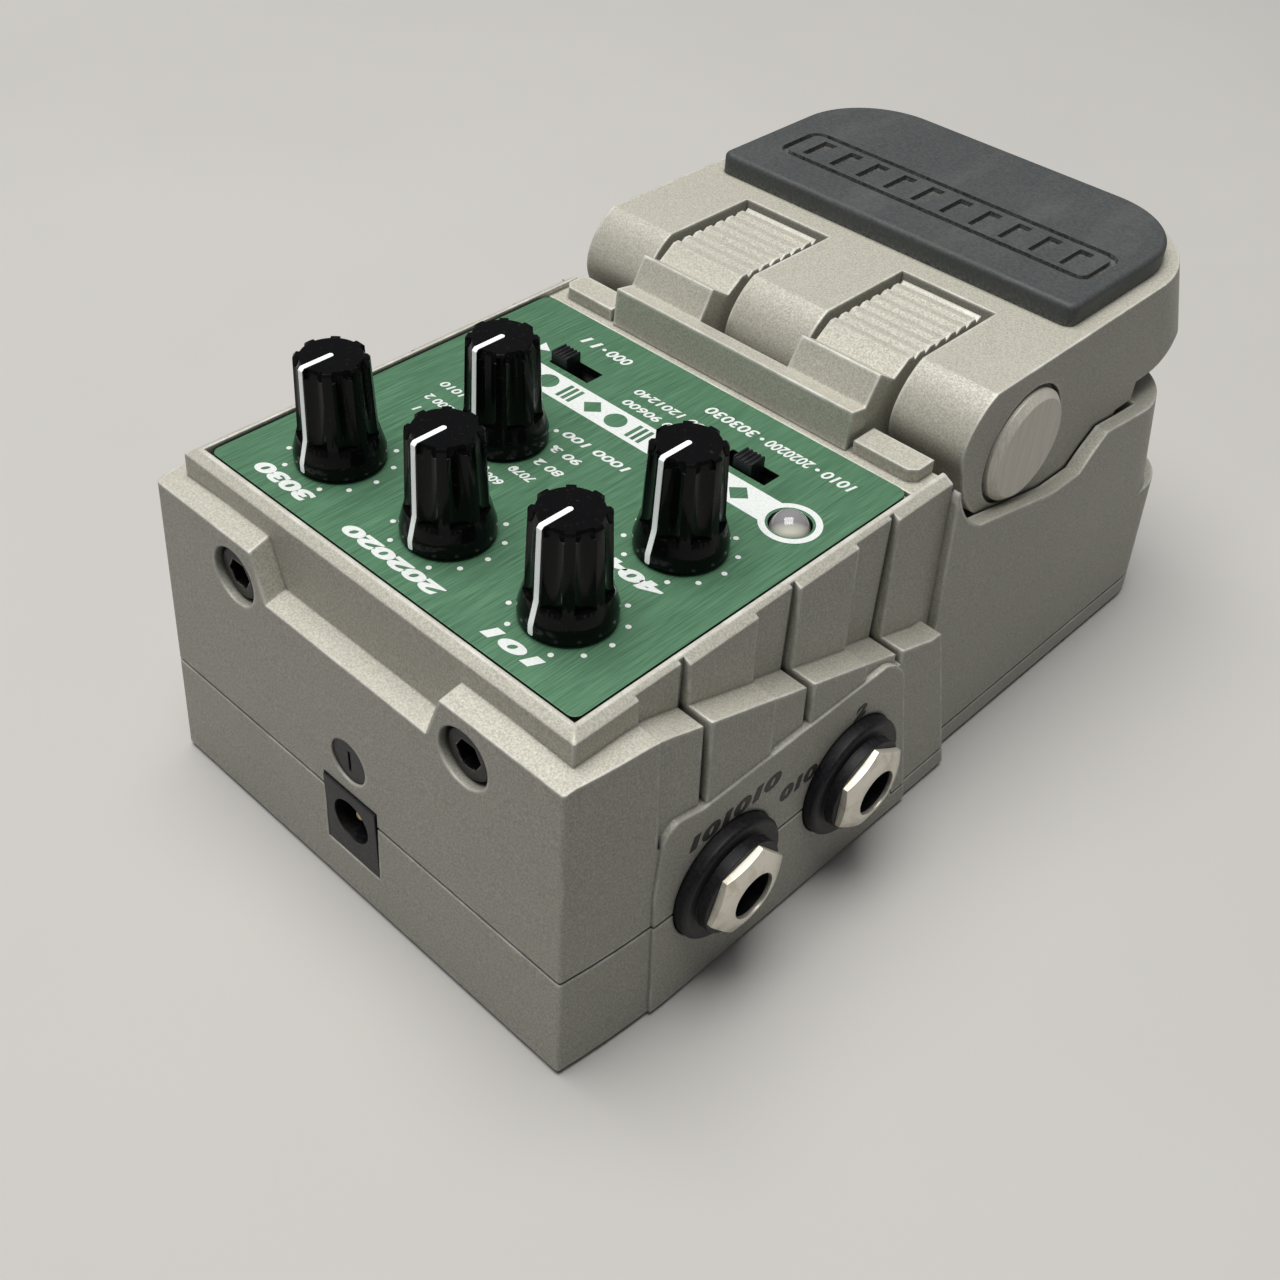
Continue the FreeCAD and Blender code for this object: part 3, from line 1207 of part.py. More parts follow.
def socket_body(side, y):
    inner = NUT_FACE - SOCKET_DEPTH - SOCKET_END_WALL
    seat = HALF_WIDTH - SIDE_WALL - DRAFT * SOCKET_TOP - RUNNING_GAP
    half = SOCKET_WIDTH / 2
    low = min(side * inner, side * seat)
    body = box(low, low + seat - inner, y - half, y + half, SOCKET_BOARD_TOP, SOCKET_TOP)
    axis = RIGHT * side
    thread = rod(side * (seat - 1), y, SOCKET_HEIGHT, SOCKET_THREAD, SOCKET_FACE - seat + 1, axis)
    bore = rod(side * (NUT_FACE - SOCKET_DEPTH), y, SOCKET_HEIGHT, SOCKET_BORE, SOCKET_DEPTH + 1, axis)
    return joined([body, thread]).cut(bore)


def socket_washers():
    washers = []
    for side, y in socket_sides():
        axis = RIGHT * side
        top = SOCKET_SEAT + WASHER_FLANGE
        edge = top - WASHER_BEVEL
        flange = rod(side * SOCKET_SEAT, y, SOCKET_HEIGHT, WASHER_RADIUS, edge - SOCKET_SEAT, axis)
        bevel = cone(side * edge, y, SOCKET_HEIGHT, WASHER_RADIUS, WASHER_RADIUS - WASHER_BEVEL,
                     WASHER_BEVEL, axis)
        step = rod(side * top, y, SOCKET_HEIGHT, WASHER_STEP_RADIUS, WASHER_STEP, axis)
        bore = rod(side * SOCKET_SEAT, y, SOCKET_HEIGHT, SOCKET_THREAD, WASHER_FLANGE + WASHER_STEP, axis)
        washers.append(joined([flange, bevel, step]).cut(bore))
    return grouped(washers)


def socket_nuts():
    # Domed nuts, whose lip covers the end of the socket's thread.
    nuts = []
    start = NUT_FACE - NUT_THICKNESS
    corner = NUT_ACROSS_FLATS / math.sqrt(3)
    for (side, y), turn in zip(socket_sides(), NUT_TURNS):
        axis = RIGHT * side
        nut = hexagon(side * start, y, SOCKET_HEIGHT, NUT_ACROSS_FLATS, NUT_THICKNESS, axis, turn)
        skirt = rod(side * start, y, SOCKET_HEIGHT, corner, NUT_THICKNESS - NUT_DOME, axis)
        dome = cone(side * (NUT_FACE - NUT_DOME), y, SOCKET_HEIGHT, corner, NUT_LIP_RADIUS, NUT_DOME, axis)
        thread = rod(side * start, y, SOCKET_HEIGHT, SOCKET_THREAD, NUT_THICKNESS - NUT_LIP, axis)
        bore = rod(side * start, y, SOCKET_HEIGHT, SOCKET_BORE, NUT_THICKNESS + 1, axis)
        nuts.append(nut.common(joined([skirt, dome])).cut(thread).cut(bore))
    return grouped(nuts)


def power_socket():
    face = HALF_LENGTH - DRAFT * POWER_BORE_HEIGHT + POWER_PROUD
    body = box(-POWER_HALF_WIDTH, POWER_HALF_WIDTH, face - POWER_BODY_LENGTH, face, POWER_BOTTOM, POWER_TOP)
    bore = rod(0, face - POWER_DEPTH, POWER_BORE_HEIGHT, POWER_BORE, POWER_DEPTH + 1, BACKWARD)
    return body.cut(bore)


def power_pin():
    face = HALF_LENGTH - DRAFT * POWER_BORE_HEIGHT + POWER_PROUD
    length = POWER_DEPTH - POWER_PIN_SHORT
    pin = rod(0, face - POWER_DEPTH, POWER_BORE_HEIGHT, POWER_PIN, length - POWER_PIN / 2, BACKWARD)
    tip = cone(0, face - POWER_PIN_SHORT - POWER_PIN / 2, POWER_BORE_HEIGHT, POWER_PIN, POWER_PIN / 2,
               POWER_PIN / 2, BACKWARD)
    return joined([pin, tip])


def blanking_plug():
    face = HALF_LENGTH - DRAFT * PLUG_HEIGHT - PLUG_SUNK
    plug = rod(0, face - PLUG_DEPTH, PLUG_HEIGHT, PLUG_RADIUS, PLUG_DEPTH, BACKWARD)
    slit = box(-PLUG_SLIT / 2, PLUG_SLIT / 2, face - PLUG_SLIT_DEPTH, face + 1, PLUG_HEIGHT - PLUG_RADIUS / 2,
               PLUG_HEIGHT + PLUG_RADIUS / 2)
    return plug.cut(slit)


def back_screws():
    screws = []
    floor = back_screw_floor()
    for x in (-BACK_SCREW_X, BACK_SCREW_X):
        length = BACK_SCREW_SINK_DEPTH - BACK_SCREW_BELOW_FACE
        head = rod(x, floor, BACK_SCREW_HEIGHT, BACK_SCREW_HEAD, length, BACKWARD)
        rim = [edge for edge in head.Edges if edge.BoundBox.YMin > floor + 1 and edge.BoundBox.YLength < 0.01]
        head = head.makeFillet(BACK_SCREW_ROUND, rim)
        end = TOWER_ROOM_BACK - BRACKET_THICKNESS
        shank = rod(x, end, BACK_SCREW_HEIGHT, BACK_SCREW_SHANK, floor - end + 1, BACKWARD)
        key = hexagon(x, floor + BACK_SCREW_KEY_FLOOR, BACK_SCREW_HEIGHT, 2 * BACK_SCREW_KEY, FAR, BACKWARD)
        screws.append(joined([head, shank]).cut(key))
    return grouped(screws)


def board_bracket():
    back = TOWER_ROOM_BACK
    wall = box(-BRACKET_HALF_WIDTH, BRACKET_HALF_WIDTH, back - BRACKET_THICKNESS, back,
               MAIN_BOARD_BOTTOM - BRACKET_THICKNESS, DECK_BOTTOM - BRACKET_TOP_GAP)
    shelf = box(-BRACKET_HALF_WIDTH, BRACKET_HALF_WIDTH, back - BRACKET_REACH, back,
                MAIN_BOARD_BOTTOM - BRACKET_THICKNESS, MAIN_BOARD_BOTTOM)
    cuts = []
    for x in (-BACK_SCREW_X, BACK_SCREW_X):
        cuts.append(rod(x, back - BRACKET_REACH, BACK_SCREW_HEIGHT, BACK_SCREW_SHANK, FAR, BACKWARD))
    return joined([wall, shelf]).cut(joined(cuts))


# Boards and what sits on them

def main_board():
    board = box(-MAIN_BOARD_HALF_WIDTH, MAIN_BOARD_HALF_WIDTH, from_back(BACK_TO_MAIN_BOARD_END),
                from_back(BACK_TO_MAIN_BOARD), MAIN_BOARD_BOTTOM, MAIN_BOARD_TOP)
    cuts = []
    for x, y in board_standoffs():
        cuts.append(rod(x, y, MAIN_BOARD_BOTTOM - 1, SMALL_SCREW, BOARD_THICKNESS + 2))
    return board.cut(joined(cuts))


def board_screws():
    screws = []
    for x, y in board_standoffs():
        bottom = MAIN_BOARD_BOTTOM - SMALL_SCREW_HEAD_HEIGHT
        head = rod(x, y, bottom, SMALL_SCREW_HEAD, SMALL_SCREW_HEAD_HEIGHT)
        shank = rod(x, y, MAIN_BOARD_BOTTOM, SMALL_SCREW, BOARD_THICKNESS + SMALL_SCREW_BITE)
        screws.append(joined([head, shank]))
    return grouped(screws)


def socket_board():
    board = box(-SOCKET_BOARD_HALF_WIDTH, SOCKET_BOARD_HALF_WIDTH, SOCKET_BOARD_FRONT_Y, SOCKET_BOARD_BACK_Y,
                SOCKET_BOARD_BOTTOM, SOCKET_BOARD_TOP)
    tongue_half = POWER_HALF_WIDTH + BOARD_TONGUE_MARGIN
    tongue = box(-tongue_half, tongue_half, SOCKET_BOARD_BACK_Y - 1, from_back(BACK_TO_TONGUE),
                 SOCKET_BOARD_BOTTOM, SOCKET_BOARD_TOP)
    cuts = []
    for x, y in tray_standoffs():
        cuts.append(rod(x, y, SOCKET_BOARD_BOTTOM - 1, SMALL_SCREW, BOARD_THICKNESS + 2))
    for x, y in screw_places():
        cuts.append(rod(x, y, SOCKET_BOARD_BOTTOM - 1, BOSS_RADIUS + MOVING_GAP, BOARD_THICKNESS + 2))
    return joined([board, tongue]).cut(joined(cuts))


def socket_board_screws():
    screws = []
    for x, y in tray_standoffs():
        head = rod(x, y, SOCKET_BOARD_TOP, SMALL_SCREW_HEAD, SMALL_SCREW_HEAD_HEIGHT)
        shank = rod(x, y, FLOOR, SMALL_SCREW, SOCKET_BOARD_TOP - FLOOR + 1)
        screws.append(joined([head, shank]))
    return grouped(screws)


def board_link():
    return box(-LINK_LENGTH / 2, LINK_LENGTH / 2, LINK_Y - LINK_WIDTH / 2, LINK_Y + LINK_WIDTH / 2,
               SOCKET_BOARD_TOP, MAIN_BOARD_BOTTOM)


def signal_chips():
    chips = []
    half = CHIP_SIZE / 2
    for x, back in CHIP_PLACES:
        y = from_back(back)
        chips.append(box(x - half, x + half, y - half, y + half, MAIN_BOARD_BOTTOM - CHIP_HEIGHT,
                         MAIN_BOARD_BOTTOM))
    return grouped(chips)


def capacitors():
    cans = []
    for x, back in CAN_PLACES:
        cans.append(rod(x, from_back(back), MAIN_BOARD_BOTTOM - CAN_HEIGHT, CAN_RADIUS, CAN_HEIGHT))
    return grouped(cans)


# Foot switch, stops, springs

def foot_switch_body():
    half = SWITCH_WIDTH / 2
    body = box(-half, half, SWITCH_Y - half, SWITCH_Y + half, POCKET_BOTTOM - SWITCH_BODY_HEIGHT,
               POCKET_BOTTOM)
    collar = rod(0, SWITCH_Y, POCKET_BOTTOM - 1, SWITCH_COLLAR, SWITCH_COLLAR_TOP - POCKET_BOTTOM + 1)
    bore = rod(0, SWITCH_Y, POCKET_BOTTOM - PLUNGER_ROOM, PLUNGER_RADIUS + RUNNING_GAP, FAR)
    return joined([body, collar]).cut(bore)


def foot_switch_nut():
    nut = hexagon(0, SWITCH_Y, POCKET_FLOOR, SWITCH_NUT_FLATS, SWITCH_NUT_HEIGHT, UP)
    return nut.cut(rod(0, SWITCH_Y, POCKET_FLOOR - 1, SWITCH_COLLAR, SWITCH_NUT_HEIGHT + 2))


def foot_switch_plunger():
    travel = (HINGE_Y - SWITCH_Y) * math.tan(TRAVEL)
    bottom = POCKET_BOTTOM - PLUNGER_ROOM + travel + MOVING_GAP
    edge = PLUNGER_TOP - PLUNGER_BEVEL
    stem = rod(0, SWITCH_Y, bottom, PLUNGER_RADIUS, edge - bottom)
    crown = cone(0, SWITCH_Y, edge, PLUNGER_RADIUS, PLUNGER_RADIUS - PLUNGER_BEVEL, PLUNGER_BEVEL)
    return joined([stem, crown])


def bump_stops():
    stops = []
    for x in (-STOP_X, STOP_X):
        stops.append(rod(x, STOP_Y, CRADLE_DECK - STOP_SEAT, STOP_RADIUS, STOP_SEAT + STOP_HEIGHT))
    return grouped(stops)


def return_springs():
    springs = []
    top = FOOTPLATE_TOP - FOOTPLATE_SKIN - MOVING_GAP
    for x in (-SPRING_X, SPRING_X):
        sleeve = rod(x, SPRING_Y, POCKET_FLOOR, SPRING_RADIUS, top - POCKET_FLOOR)
        springs.append(sleeve.cut(rod(x, SPRING_Y, POCKET_FLOOR - 1, SPRING_RADIUS - SPRING_WIRE, FAR)))
    return grouped(springs)


# Battery bay

def battery_floor():
    return DOOR_THICKNESS + DOOR_LIFT + MOVING_GAP


def door_axis():
    return (bay_front() + MOVING_GAP + DOOR_THICKNESS / 2, DOOR_LIFT + DOOR_THICKNESS / 2)


def battery():
    half = BATTERY_WIDTH / 2
    front = from_back(BACK_TO_BATTERY_END)
    low = battery_floor()
    can = box(-half, half, front, front + BATTERY_LENGTH, low, low + BATTERY_HEIGHT)
    edges = [edge for edge in can.Edges if edge.BoundBox.YLength > 1]
    can = can.makeFillet(BATTERY_ROUND, edges)
    pieces = [can]
    for x in (-TERMINAL_PITCH / 2, TERMINAL_PITCH / 2):
        pieces.append(rod(x, front + BATTERY_LENGTH - 1, low + BATTERY_HEIGHT / 2, TERMINAL_RADIUS,
                          TERMINAL_LENGTH + 1, BACKWARD))
    return joined(pieces)


def battery_snap():
    start = from_back(BACK_TO_BATTERY_END) + BATTERY_LENGTH
    middle = battery_floor() + BATTERY_HEIGHT / 2
    half = BATTERY_WIDTH / 2 - SNAP_INSET
    cap = box(-half, half, start, start + SNAP_THICKNESS, middle - SNAP_HEIGHT / 2, middle + SNAP_HEIGHT / 2)
    cuts = []
    for x in (-TERMINAL_PITCH / 2, TERMINAL_PITCH / 2):
        cuts.append(rod(x, start, middle, TERMINAL_RADIUS, TERMINAL_LENGTH, BACKWARD))
    return cap.cut(joined(cuts))


def battery_door():
    half = bay_half() - MOVING_GAP
    axis_y, axis_z = door_axis()
    back = bay_back() - MOVING_GAP
    leaf = box(-half, half, axis_y, back, DOOR_LIFT, DOOR_LIFT + DOOR_THICKNESS)
    barrel = rod(-half, axis_y, axis_z, DOOR_THICKNESS / 2, 2 * half, RIGHT)
    pin_half = half + DOOR_PIN_LENGTH - RUNNING_GAP
    pins = rod(-pin_half, axis_y, axis_z, DOOR_PIN_RADIUS, 2 * pin_half, RIGHT)
    grip = rod(0, back + DOOR_GRIP_SET, DOOR_LIFT - 1, DOOR_GRIP_WIDTH / 2, DOOR_GRIP_DEPTH + 1)
    return joined([leaf, barrel, pins]).cut(grip)


# Feet and casing screws

def rubber_feet():
    feet = []
    for x, y in foot_places():
        feet.append(rod(x, y, -FOOT_PROUD, FOOT_RADIUS, FOOT_PROUD + FOOT_SEAT))
    return grouped(feet)


def casing_screws():
    screws = []
    for x, y in screw_places():
        head = cone(x, y, SCREW_HEAD_SINK, SCREW_HEAD, SCREW_RADIUS, SCREW_HEAD_HEIGHT - SCREW_HEAD_SINK)
        shank = rod(x, y, SCREW_HEAD_SINK, SCREW_RADIUS, SCREW_LENGTH - SCREW_HEAD_SINK)
        screws.append(joined([head, shank]))
    return grouped(screws)


def build():
    outside = casing_outside()
    inside = casing_inside()
    pieces = {
        "bottom_tray": bottom_tray(outside, inside),
        "upper_housing": upper_housing(outside, inside),
        "faceplate": faceplate(),
        "hinge_block": hinge_block(),
        "hinge_bushes": hinge_bushes(),
        "hinge_block_screws": hinge_block_screws(),
        "treadle": treadle(),
        "treadle_pad": treadle_pad(),
        "hinge_pin": hinge_pin(),
        "hinge_cap_left": hinge_cap(-1),
        "hinge_cap_right": hinge_cap(1),
        "led_lamp": lamp(),
        "led_spacer": lamp_spacer(),
        "three_way_switch_body": slide_body(THREE_WAY_X, THREE_WAY_TRAVEL),
        "three_way_switch_toggle": toggle(THREE_WAY_X),
        "two_way_switch_body": slide_body(TWO_WAY_X, TWO_WAY_TRAVEL),
        "two_way_switch_toggle": toggle(two_way_rest()),
        "mono_output_socket": socket_body(-1, MONO_OUT_Y),
        "right_output_socket": socket_body(-1, RIGHT_OUT_Y),
        "input_socket": socket_body(1, INPUT_Y),
        "socket_washers": socket_washers(),
        "socket_nuts": socket_nuts(),
        "power_socket": power_socket(),
        "power_socket_pin": power_pin(),
        "blanking_plug": blanking_plug(),
        "back_screws": back_screws(),
        "board_bracket": board_bracket(),
        "main_board": main_board(),
        "main_board_screws": board_screws(),
        "socket_board": socket_board(),
        "socket_board_screws": socket_board_screws(),
        "board_link": board_link(),
        "signal_chips": signal_chips(),
        "capacitors": capacitors(),
        "foot_switch_body": foot_switch_body(),
        "foot_switch_nut": foot_switch_nut(),
        "foot_switch_plunger": foot_switch_plunger(),
        "bump_stops": bump_stops(),
        "return_springs": return_springs(),
        "battery": battery(),
        "battery_snap": battery_snap(),
        "battery_door": battery_door(),
        "rubber_feet": rubber_feet(),
        "casing_screws": casing_screws(),
    }
    for name, x, y in KNOBS:
        pieces[name + "_knob"] = knob(x, y)
        pieces[name + "_shaft"] = shaft(x, y)
        pieces[name + "_control"] = pot(x, y)
    return pieces


def main():
    os.makedirs("parts", exist_ok=True)
    for name, shape in build().items():
        shape.translate(at(0, 0, FOOT_PROUD))
        shape.exportStep(os.path.join("parts", name + ".step"))
        print(name, len(shape.Solids), shape.isValid(), round(shape.Volume, 1))


main()
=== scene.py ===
import math
import json

import bpy
from mathutils import Matrix, Vector

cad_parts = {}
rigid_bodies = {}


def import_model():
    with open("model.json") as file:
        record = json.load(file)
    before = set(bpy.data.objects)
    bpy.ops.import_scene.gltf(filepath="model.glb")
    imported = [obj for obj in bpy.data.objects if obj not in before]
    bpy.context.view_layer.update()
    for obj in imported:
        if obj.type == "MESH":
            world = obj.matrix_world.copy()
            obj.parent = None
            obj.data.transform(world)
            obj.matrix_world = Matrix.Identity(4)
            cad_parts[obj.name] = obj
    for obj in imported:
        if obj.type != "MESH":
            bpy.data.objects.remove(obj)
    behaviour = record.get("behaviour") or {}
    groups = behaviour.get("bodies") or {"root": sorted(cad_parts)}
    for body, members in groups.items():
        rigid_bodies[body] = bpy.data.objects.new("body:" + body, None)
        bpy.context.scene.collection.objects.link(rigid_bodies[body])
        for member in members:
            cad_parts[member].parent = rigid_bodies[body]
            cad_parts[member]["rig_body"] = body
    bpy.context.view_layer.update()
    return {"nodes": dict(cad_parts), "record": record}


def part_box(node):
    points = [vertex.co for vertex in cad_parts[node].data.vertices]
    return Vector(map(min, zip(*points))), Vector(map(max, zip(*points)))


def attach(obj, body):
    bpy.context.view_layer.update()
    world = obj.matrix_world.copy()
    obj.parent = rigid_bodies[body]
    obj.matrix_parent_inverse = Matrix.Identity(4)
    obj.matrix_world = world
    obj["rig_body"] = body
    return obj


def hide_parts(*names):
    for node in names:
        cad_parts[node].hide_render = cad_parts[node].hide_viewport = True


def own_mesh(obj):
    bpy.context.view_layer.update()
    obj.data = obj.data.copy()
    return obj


bl_info = {
    "name": "Delay Pedal Look",
    "version": (1, 0, 0),
    "blender": (4, 5, 0),
    "location": "View3D > Sidebar > Delay Pedal",
    "description": "Dresses the delay pedal: castings, faceplate print, dials, lamp, footplate and studio",
    "category": "Object",
}

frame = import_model()
MM = 0.001

MERGE_DISTANCE = 0.000002
FLAT_ANGLE = math.radians(0.4)
SMOOTH_ANGLE = math.radians(32.0)
BEVEL_SEGMENTS = 2
NORMAL_WEIGHT = 100
DIAL_SWEEP = math.radians(150.0)
BANNER_LENGTH = 50.0 * MM
BANNER_FIRST_SHAPE = 8.0 * MM
BANNER_STEP = 4.1 * MM
LETTER_SLANT = 0.18
PLATE_BOLD = 0.055
SMALL_BOLD = 0.024


# Places that come from the fixed model

def high_corner(node):
    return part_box(node)[1]


def middle_of(node):
    low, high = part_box(node)
    return (low + high) / 2


def faceplate_top():
    return high_corner("faceplate").z


DIALS = ("mix", "repeat", "time", "modulation", "mode")

# Plain numbers on the plate, in millimetres: node, text, place from the node's middle, width, height
PLATE_NUMBERS = (
    ("mix_knob", "101", 0.3, 7.85, 8.3, 1.9),
    ("repeat_knob", "202020", 0.5, 7.85, 16.4, 1.95),
    ("time_knob", "3030", 0.7, 7.85, 9.9, 2.1),
    ("modulation_knob", "404", 0.0, 7.9, 8.8, 2.1),
)
SMALL_NUMBERS = (
    ("mode_knob", "1000 100", -9.8, -6.25, 10.9, 1.35),
    ("mode_knob", "90 3", -8.0, -2.95, 4.6, 1.3),
    ("mode_knob", "80 2", -8.4, 0.35, 4.4, 1.3),
    ("mode_knob", "7070", -7.1, 3.55, 3.9, 1.3),
    ("mode_knob", "60600", -4.5, 6.75, 4.8, 1.3),
    ("mode_knob", "1010", 12.2, -2.45, 4.2, 1.3),
    ("mode_knob", "20200 2", 10.1, 0.85, 6.6, 1.3),
    ("mode_knob", "30300 1", 9.0, 3.75, 6.6, 1.3),
    ("two_way_switch_toggle", "000", -4.1, -5.9, 3.9, 1.75),
    ("two_way_switch_toggle", "11", 1.1, -5.9, 2.9, 1.75),
    ("two_way_switch_toggle", "1", 6.9, -0.3, 0.8, 1.9),
    ("three_way_switch_toggle", "1010", -9.4, -5.75, 4.6, 1.75),
    ("three_way_switch_toggle", "2020200", -1.75, -5.75, 7.1, 1.75),
    ("three_way_switch_toggle", "303030", 7.7, -5.75, 8.2, 1.75),
    ("three_way_switch_toggle", "120 90600", 15.0, 0.85, 10.4, 1.4),
    ("three_way_switch_toggle", "60 1201240", 15.0, -1.95, 11.6, 1.4),
)
NUMBER_DOTS = (
    ("two_way_switch_toggle", -1.3, -5.9), ("three_way_switch_toggle", -6.15, -5.75),
    ("three_way_switch_toggle", 2.7, -5.75),
)
# Plain numbers beside the side sockets: socket, text, place forwards and up from its axis, width, height
SIDE_NUMBERS = (
    ("mono_output_socket", "101010", 1.5, 9.6, 16.0, 2.2),
    ("mono_output_socket", "010", 13.2, 5.7, 7.0, 2.2),
    ("right_output_socket", "2", 1.1, 9.8, 2.5, 2.0),
    ("input_socket", "30", 1.5, 9.6, 5.6, 2.2),
)


class PedalColours(bpy.types.PropertyGroup):
    """Colours of the pedal's finishes."""

    casing: bpy.props.FloatVectorProperty(
        name="Casing paint", description="Warm grey metallic powder coat on the castings",
        subtype="COLOR", size=3, min=0.0, max=1.0, default=(0.600, 0.585, 0.500))
    casing_dark: bpy.props.FloatVectorProperty(
        name="Casing paint, grain", description="Darker grain in the powder coat",
        subtype="COLOR", size=3, min=0.0, max=1.0, default=(0.370, 0.357, 0.302))
    # Edge colour: bare metal where the paint wears off, and a painted highlight along the castings' edges.
    edge_wear_and_highlight_colour: bpy.props.FloatVectorProperty(
        name="Edge wear and painted highlight", description="Bare metal where the paint's edges wear off, lightened as a painted highlight",
        subtype="COLOR", size=3, min=0.0, max=1.0, default=(0.80, 0.79, 0.73))
    plate: bpy.props.FloatVectorProperty(
        name="Faceplate", description="Green of the brushed plate",
        subtype="COLOR", size=3, min=0.0, max=1.0, default=(0.060, 0.155, 0.085))
    plate_light: bpy.props.FloatVectorProperty(
        name="Faceplate, brushing", description="Lighter streaks in the brushed plate",
        subtype="COLOR", size=3, min=0.0, max=1.0, default=(0.122, 0.282, 0.160))
    printing: bpy.props.FloatVectorProperty(
        name="White print", description="Print on the faceplate and the dials' pointers",
        subtype="COLOR", size=3, min=0.0, max=1.0, default=(0.80, 0.83, 0.81))
    side_print: bpy.props.FloatVectorProperty(
        name="Side print", description="Black print beside the side sockets",
        subtype="COLOR", size=3, min=0.0, max=1.0, default=(0.018, 0.018, 0.018))
    dial: bpy.props.FloatVectorProperty(
        name="Dials", description="Glossy black of the dials",
        subtype="COLOR", size=3, min=0.0, max=1.0, default=(0.0035, 0.0035, 0.004))
    rubber: bpy.props.FloatVectorProperty(
        name="Footplate pad", description="Dark grey rubber of the pad",
        subtype="COLOR", size=3, min=0.0, max=1.0, default=(0.052, 0.057, 0.059))
    steel: bpy.props.FloatVectorProperty(
        name="Hinge caps", description="Brushed steel of the hinge caps",
        subtype="COLOR", size=3, min=0.0, max=1.0, default=(0.92, 0.875, 0.77))
    nickel: bpy.props.FloatVectorProperty(
        name="Socket nuts", description="Nickel plating of the nuts and sockets",
        subtype="COLOR", size=3, min=0.0, max=1.0, default=(0.87, 0.83, 0.72))
    floor: bpy.props.FloatVectorProperty(
        name="Floor", description="Plain pale floor of the studio",
        subtype="COLOR", size=3, min=0.0, max=1.0, default=(0.530, 0.516, 0.496))


class PedalSizes(bpy.types.PropertyGroup):
    """Sizes of the details that the dressing adds."""

    casting_edge: bpy.props.FloatProperty(
        name="Casting edge", description="Rounding on the edges of the painted castings",
        unit="LENGTH", default=0.00026, min=0.0, max=0.001)
    moulded_edge: bpy.props.FloatProperty(
        name="Moulded edge", description="Rounding on the edges of plastic and rubber pieces",
        unit="LENGTH", default=0.00016, min=0.0, max=0.001)
    metal_edge: bpy.props.FloatProperty(
        name="Machined edge", description="Break on the edges of turned and sheet metal",
        unit="LENGTH", default=0.0001, min=0.0, max=0.001)
    print_height: bpy.props.FloatProperty(
        name="Print height", description="How far the print stands on the plate",
        unit="LENGTH", default=0.00003, min=0.000005, max=0.0001)
    dot_radius: bpy.props.FloatProperty(
        name="Scale dot", description="Radius of a dot of the dials' scales",
        unit="LENGTH", default=0.00034, min=0.0001, max=0.001)
    scale_radius: bpy.props.FloatProperty(
        name="Scale radius", description="Distance of the dots from the dial's axis",
        unit="LENGTH", default=0.00668, min=0.006, max=0.009)
    scale_dots: bpy.props.IntProperty(
        name="Scale dots", description="Dots round each dial", default=11, min=3, max=21)
    pointer_width: bpy.props.FloatProperty(
        name="Pointer width", description="Width of the white line on a dial",
        unit="LENGTH", default=0.00072, min=0.0003, max=0.002)
    banner_width: bpy.props.FloatProperty(
        name="Banner width", description="Width of the white band across the plate",
        unit="LENGTH", default=0.0046, min=0.002, max=0.006)
    banner_shapes: bpy.props.IntProperty(
        name="Banner shapes", description="Green shapes on the white band", default=10, min=1, max=11)
    lamp_ring: bpy.props.FloatProperty(
        name="Lamp ring", description="Outer radius of the printed ring round the lamp",
        unit="LENGTH", default=0.00384, min=0.003, max=0.005)


def colours():
    return bpy.context.scene.pedal_colours


def sizes():
    return bpy.context.scene.pedal_sizes


# Small tools for materials

def finish_of(name, colour, roughness, metallic=0.0):
    material = bpy.data.materials.new(name)
    material.use_nodes = True
    shader = material.node_tree.nodes["Principled BSDF"]
    shader.inputs["Base Color"].default_value = (*colour, 1.0)
    shader.inputs["Roughness"].default_value = roughness
    shader.inputs["Metallic"].default_value = metallic
    return material, material.node_tree, shader


def coloured(tree, shader, colour):
    tree.links.new(colour, shader.inputs["Base Color"])


def roughened(tree, shader, fraction):
    tree.links.new(fraction, shader.inputs["Roughness"])


def object_place(tree, stretch=(1.0, 1.0, 1.0)):
    place = tree.nodes.new("ShaderNodeTexCoord")
    mapping = tree.nodes.new("ShaderNodeMapping")
    mapping.inputs["Scale"].default_value = stretch
    tree.links.new(place.outputs["Object"], mapping.inputs["Vector"])
    return mapping.outputs["Vector"]


def noise(tree, vector, scale, detail=3.0, roughness=0.55):
    node = tree.nodes.new("ShaderNodeTexNoise")
    node.inputs["Scale"].default_value = scale
    node.inputs["Detail"].default_value = detail
    node.inputs["Roughness"].default_value = roughness
    tree.links.new(vector, node.inputs["Vector"])
    return node.outputs["Fac"]


def between(tree, value, low, high, out_low=0.0, out_high=1.0):
    node = tree.nodes.new("ShaderNodeMapRange")
    node.inputs["From Min"].default_value = low
    node.inputs["From Max"].default_value = high
    node.inputs["To Min"].default_value = out_low
    node.inputs["To Max"].default_value = out_high
    tree.links.new(value, node.inputs["Value"])
    return node.outputs["Result"]


def product(tree, first, second):
    node = tree.nodes.new("ShaderNodeMath")
    node.operation = "MULTIPLY"
    tree.links.new(first, node.inputs[0])
    if isinstance(second, float):
        node.inputs[1].default_value = second
    else:
        tree.links.new(second, node.inputs[1])
    return node.outputs["Value"]


def blended(tree, fraction, first, second):
    node = tree.nodes.new("ShaderNodeMix")
    node.data_type = "RGBA"
    tree.links.new(fraction, node.inputs["Factor"])
    for socket, colour in ((node.inputs["A"], first), (node.inputs["B"], second)):
        if isinstance(colour, bpy.types.NodeSocket):
            tree.links.new(colour, socket)
        else:
            socket.default_value = (*colour, 1.0)
    return node.outputs["Result"]


